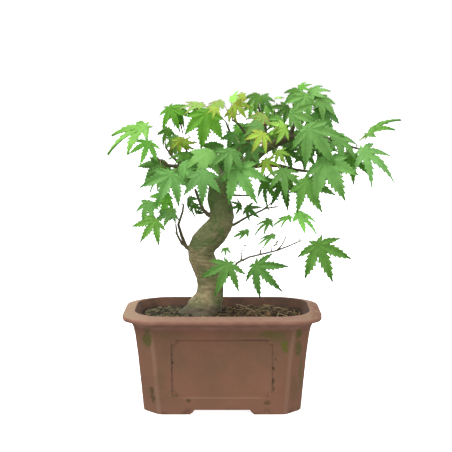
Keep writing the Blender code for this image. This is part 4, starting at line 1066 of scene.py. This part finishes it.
# ------------------------------------------------------------------ soil
points, faces = welded(nodes["soil"])
soil_tree = BVHTree.FromPolygons(points, faces)
soil_mesh = bpy.data.meshes.new("soil_bed")
soil_mesh.from_pydata(points, [], faces)
soil = new_object("soil_bed", soil_mesh, SOIL)
tint = soil_mesh.attributes.new("grain", "FLOAT_COLOR", "POINT")
tint.data.foreach_set("color", [1.0] * (4 * len(soil_mesh.vertices)))
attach(soil, "root")
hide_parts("soil")

soil_low, soil_high = (Vector(c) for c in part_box("soil"))


def ground(x, y):
    """Height of the soil's top at a spot, or None where there is none."""
    hit = soil_tree.ray_cast(Vector((x, y, soil_high.z + 0.01)), Vector((0, 0, -1)), 0.03)
    if hit[0] is None or hit[1].z < 0.5:
        return None
    return hit[0].z


GRAIN_RISE = 0.2  # how far a grain's middle stands above the soil, as a share of its size


def scatter(name, count, sizes, colours, seed, spread=None):
    """Small stones or crumbs pressed a little into the soil, as one mesh."""
    local = random.Random(seed)
    unit = bmesh.new()
    bmesh.ops.create_icosphere(unit, subdivisions=1, radius=1.0)
    base = [Vector(v.co) for v in unit.verts]
    tris = [tuple(v.index for v in f.verts) for f in unit.faces]
    unit.free()
    points, faces, tints = [], [], []
    made = 0
    tries = 0
    while made < count and tries < count * 6:
        tries += 1
        x = local.uniform(soil_low.x, soil_high.x)
        y = local.uniform(soil_low.y, soil_high.y)
        if spread is not None and not spread(x - POT.x, y - POT.y, local):
            continue
        z = ground(x, y)
        if z is None:
            continue
        size = sizes[0] + (sizes[1] - sizes[0]) * local.random() ** 2.2
        spin = Matrix.Rotation(local.uniform(0, 6.28), 3, "Z")
        turn = spin @ Matrix.Rotation(local.uniform(-0.6, 0.6), 3, "X")
        stretch = Vector((local.uniform(0.8, 1.3), local.uniform(0.7, 1.1), local.uniform(0.5, 0.85)))
        tone = colours[local.randrange(len(colours))]
        light = local.uniform(0.75, 1.2)
        first = len(points)
        for p in base:
            q = Vector((p.x * stretch.x, p.y * stretch.y, p.z * stretch.z)) * local.uniform(0.86, 1.12)
            points.append(turn @ (q * size) + Vector((x, y, z + size * GRAIN_RISE)))
            tints.append((tone[0] * light, tone[1] * light, tone[2] * light, 1.0))
        faces += [tuple(first + i for i in t) for t in tris]
        made += 1
    mesh = bpy.data.meshes.new(name)
    mesh.from_pydata(points, [], faces)
    layer = mesh.attributes.new("grain", "FLOAT_COLOR", "POINT")
    layer.data.foreach_set("color", np.array(tints, dtype=np.float32).ravel())
    obj = new_object(name, mesh, SOIL)
    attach(obj, "root")


GREY = (1.15, 1.2, 1.15)
TAN = (1.9, 1.65, 1.3)
BLACK = (0.25, 0.25, 0.26)
BROWN = (1.0, 0.78, 0.58)


def mostly_left(x, y, r):
    return x < 0.0 or r.random() < 0.35


def mostly_right(x, y, r):
    return x > -0.005 or r.random() < 0.2


def far_right(x, y, r):
    return x > 0.01


scatter("soil_grains", 3600, (0.0006, 0.0019), (GREY, TAN, BLACK, BLACK, BROWN), 11)
scatter("soil_stones", 150, (0.0020, 0.0036), (GREY, TAN, BLACK, BLACK), 12, mostly_left)


def litter(name, count, seed, length, spread, thick):
    """Dry grass and straw lying on the soil, as one mesh: lengths and thicknesses in metres."""
    local = random.Random(seed)
    points, faces = [], []
    made = 0
    tries = 0
    while made < count and tries < count * 8:
        tries += 1
        x = local.uniform(soil_low.x, soil_high.x)
        y = local.uniform(soil_low.y, soil_high.y)
        if not spread(x - POT.x, y - POT.y, local):
            continue
        z = ground(x, y)
        if z is None:
            continue
        turn = local.uniform(0, math.pi)
        reach = local.uniform(*length)
        way = Vector((math.cos(turn), math.sin(turn), 0.0)) * reach
        start = Vector((x, y, z + 0.0012)) - way * 0.5
        end = start + way + Vector((0, 0, local.uniform(0.0, 0.003)))
        if ground(start.x, start.y) is None or ground(end.x, end.y) is None:
            continue
        bow = Vector((local.uniform(-1, 1), local.uniform(-1, 1), local.uniform(0.2, 1.6)))
        mid = (start + end) * 0.5 + bow * 0.001
        pts, fcs = stalk_points((start, mid, end), local.uniform(*thick), 5, 6)
        first = len(points)
        points += pts
        faces += [tuple(first + i for i in f) for f in fcs]
        made += 1
    mesh = bpy.data.meshes.new(name)
    mesh.from_pydata(points, [], faces)
    smooth(mesh)
    obj = new_object(name, mesh, STRAW)
    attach(obj, "root")


litter("dry_grass", 40, 21, (0.006, 0.020), mostly_right, (0.00010, 0.00022))
litter("dry_straw", 16, 5, (0.007, 0.015), far_right, (0.00030, 0.00048))

# ------------------------------------------------------------------ wire and drainage mesh
plain = {"tie_wire": WIRE, "drainage_mesh_left": PLASTIC, "drainage_mesh_right": PLASTIC}
for name, material in plain.items():
    mesh = nodes[name].data
    if len(mesh.materials):
        mesh.materials[0] = material
    else:
        mesh.materials.append(material)
    for slot in nodes[name].material_slots:
        slot.material = material
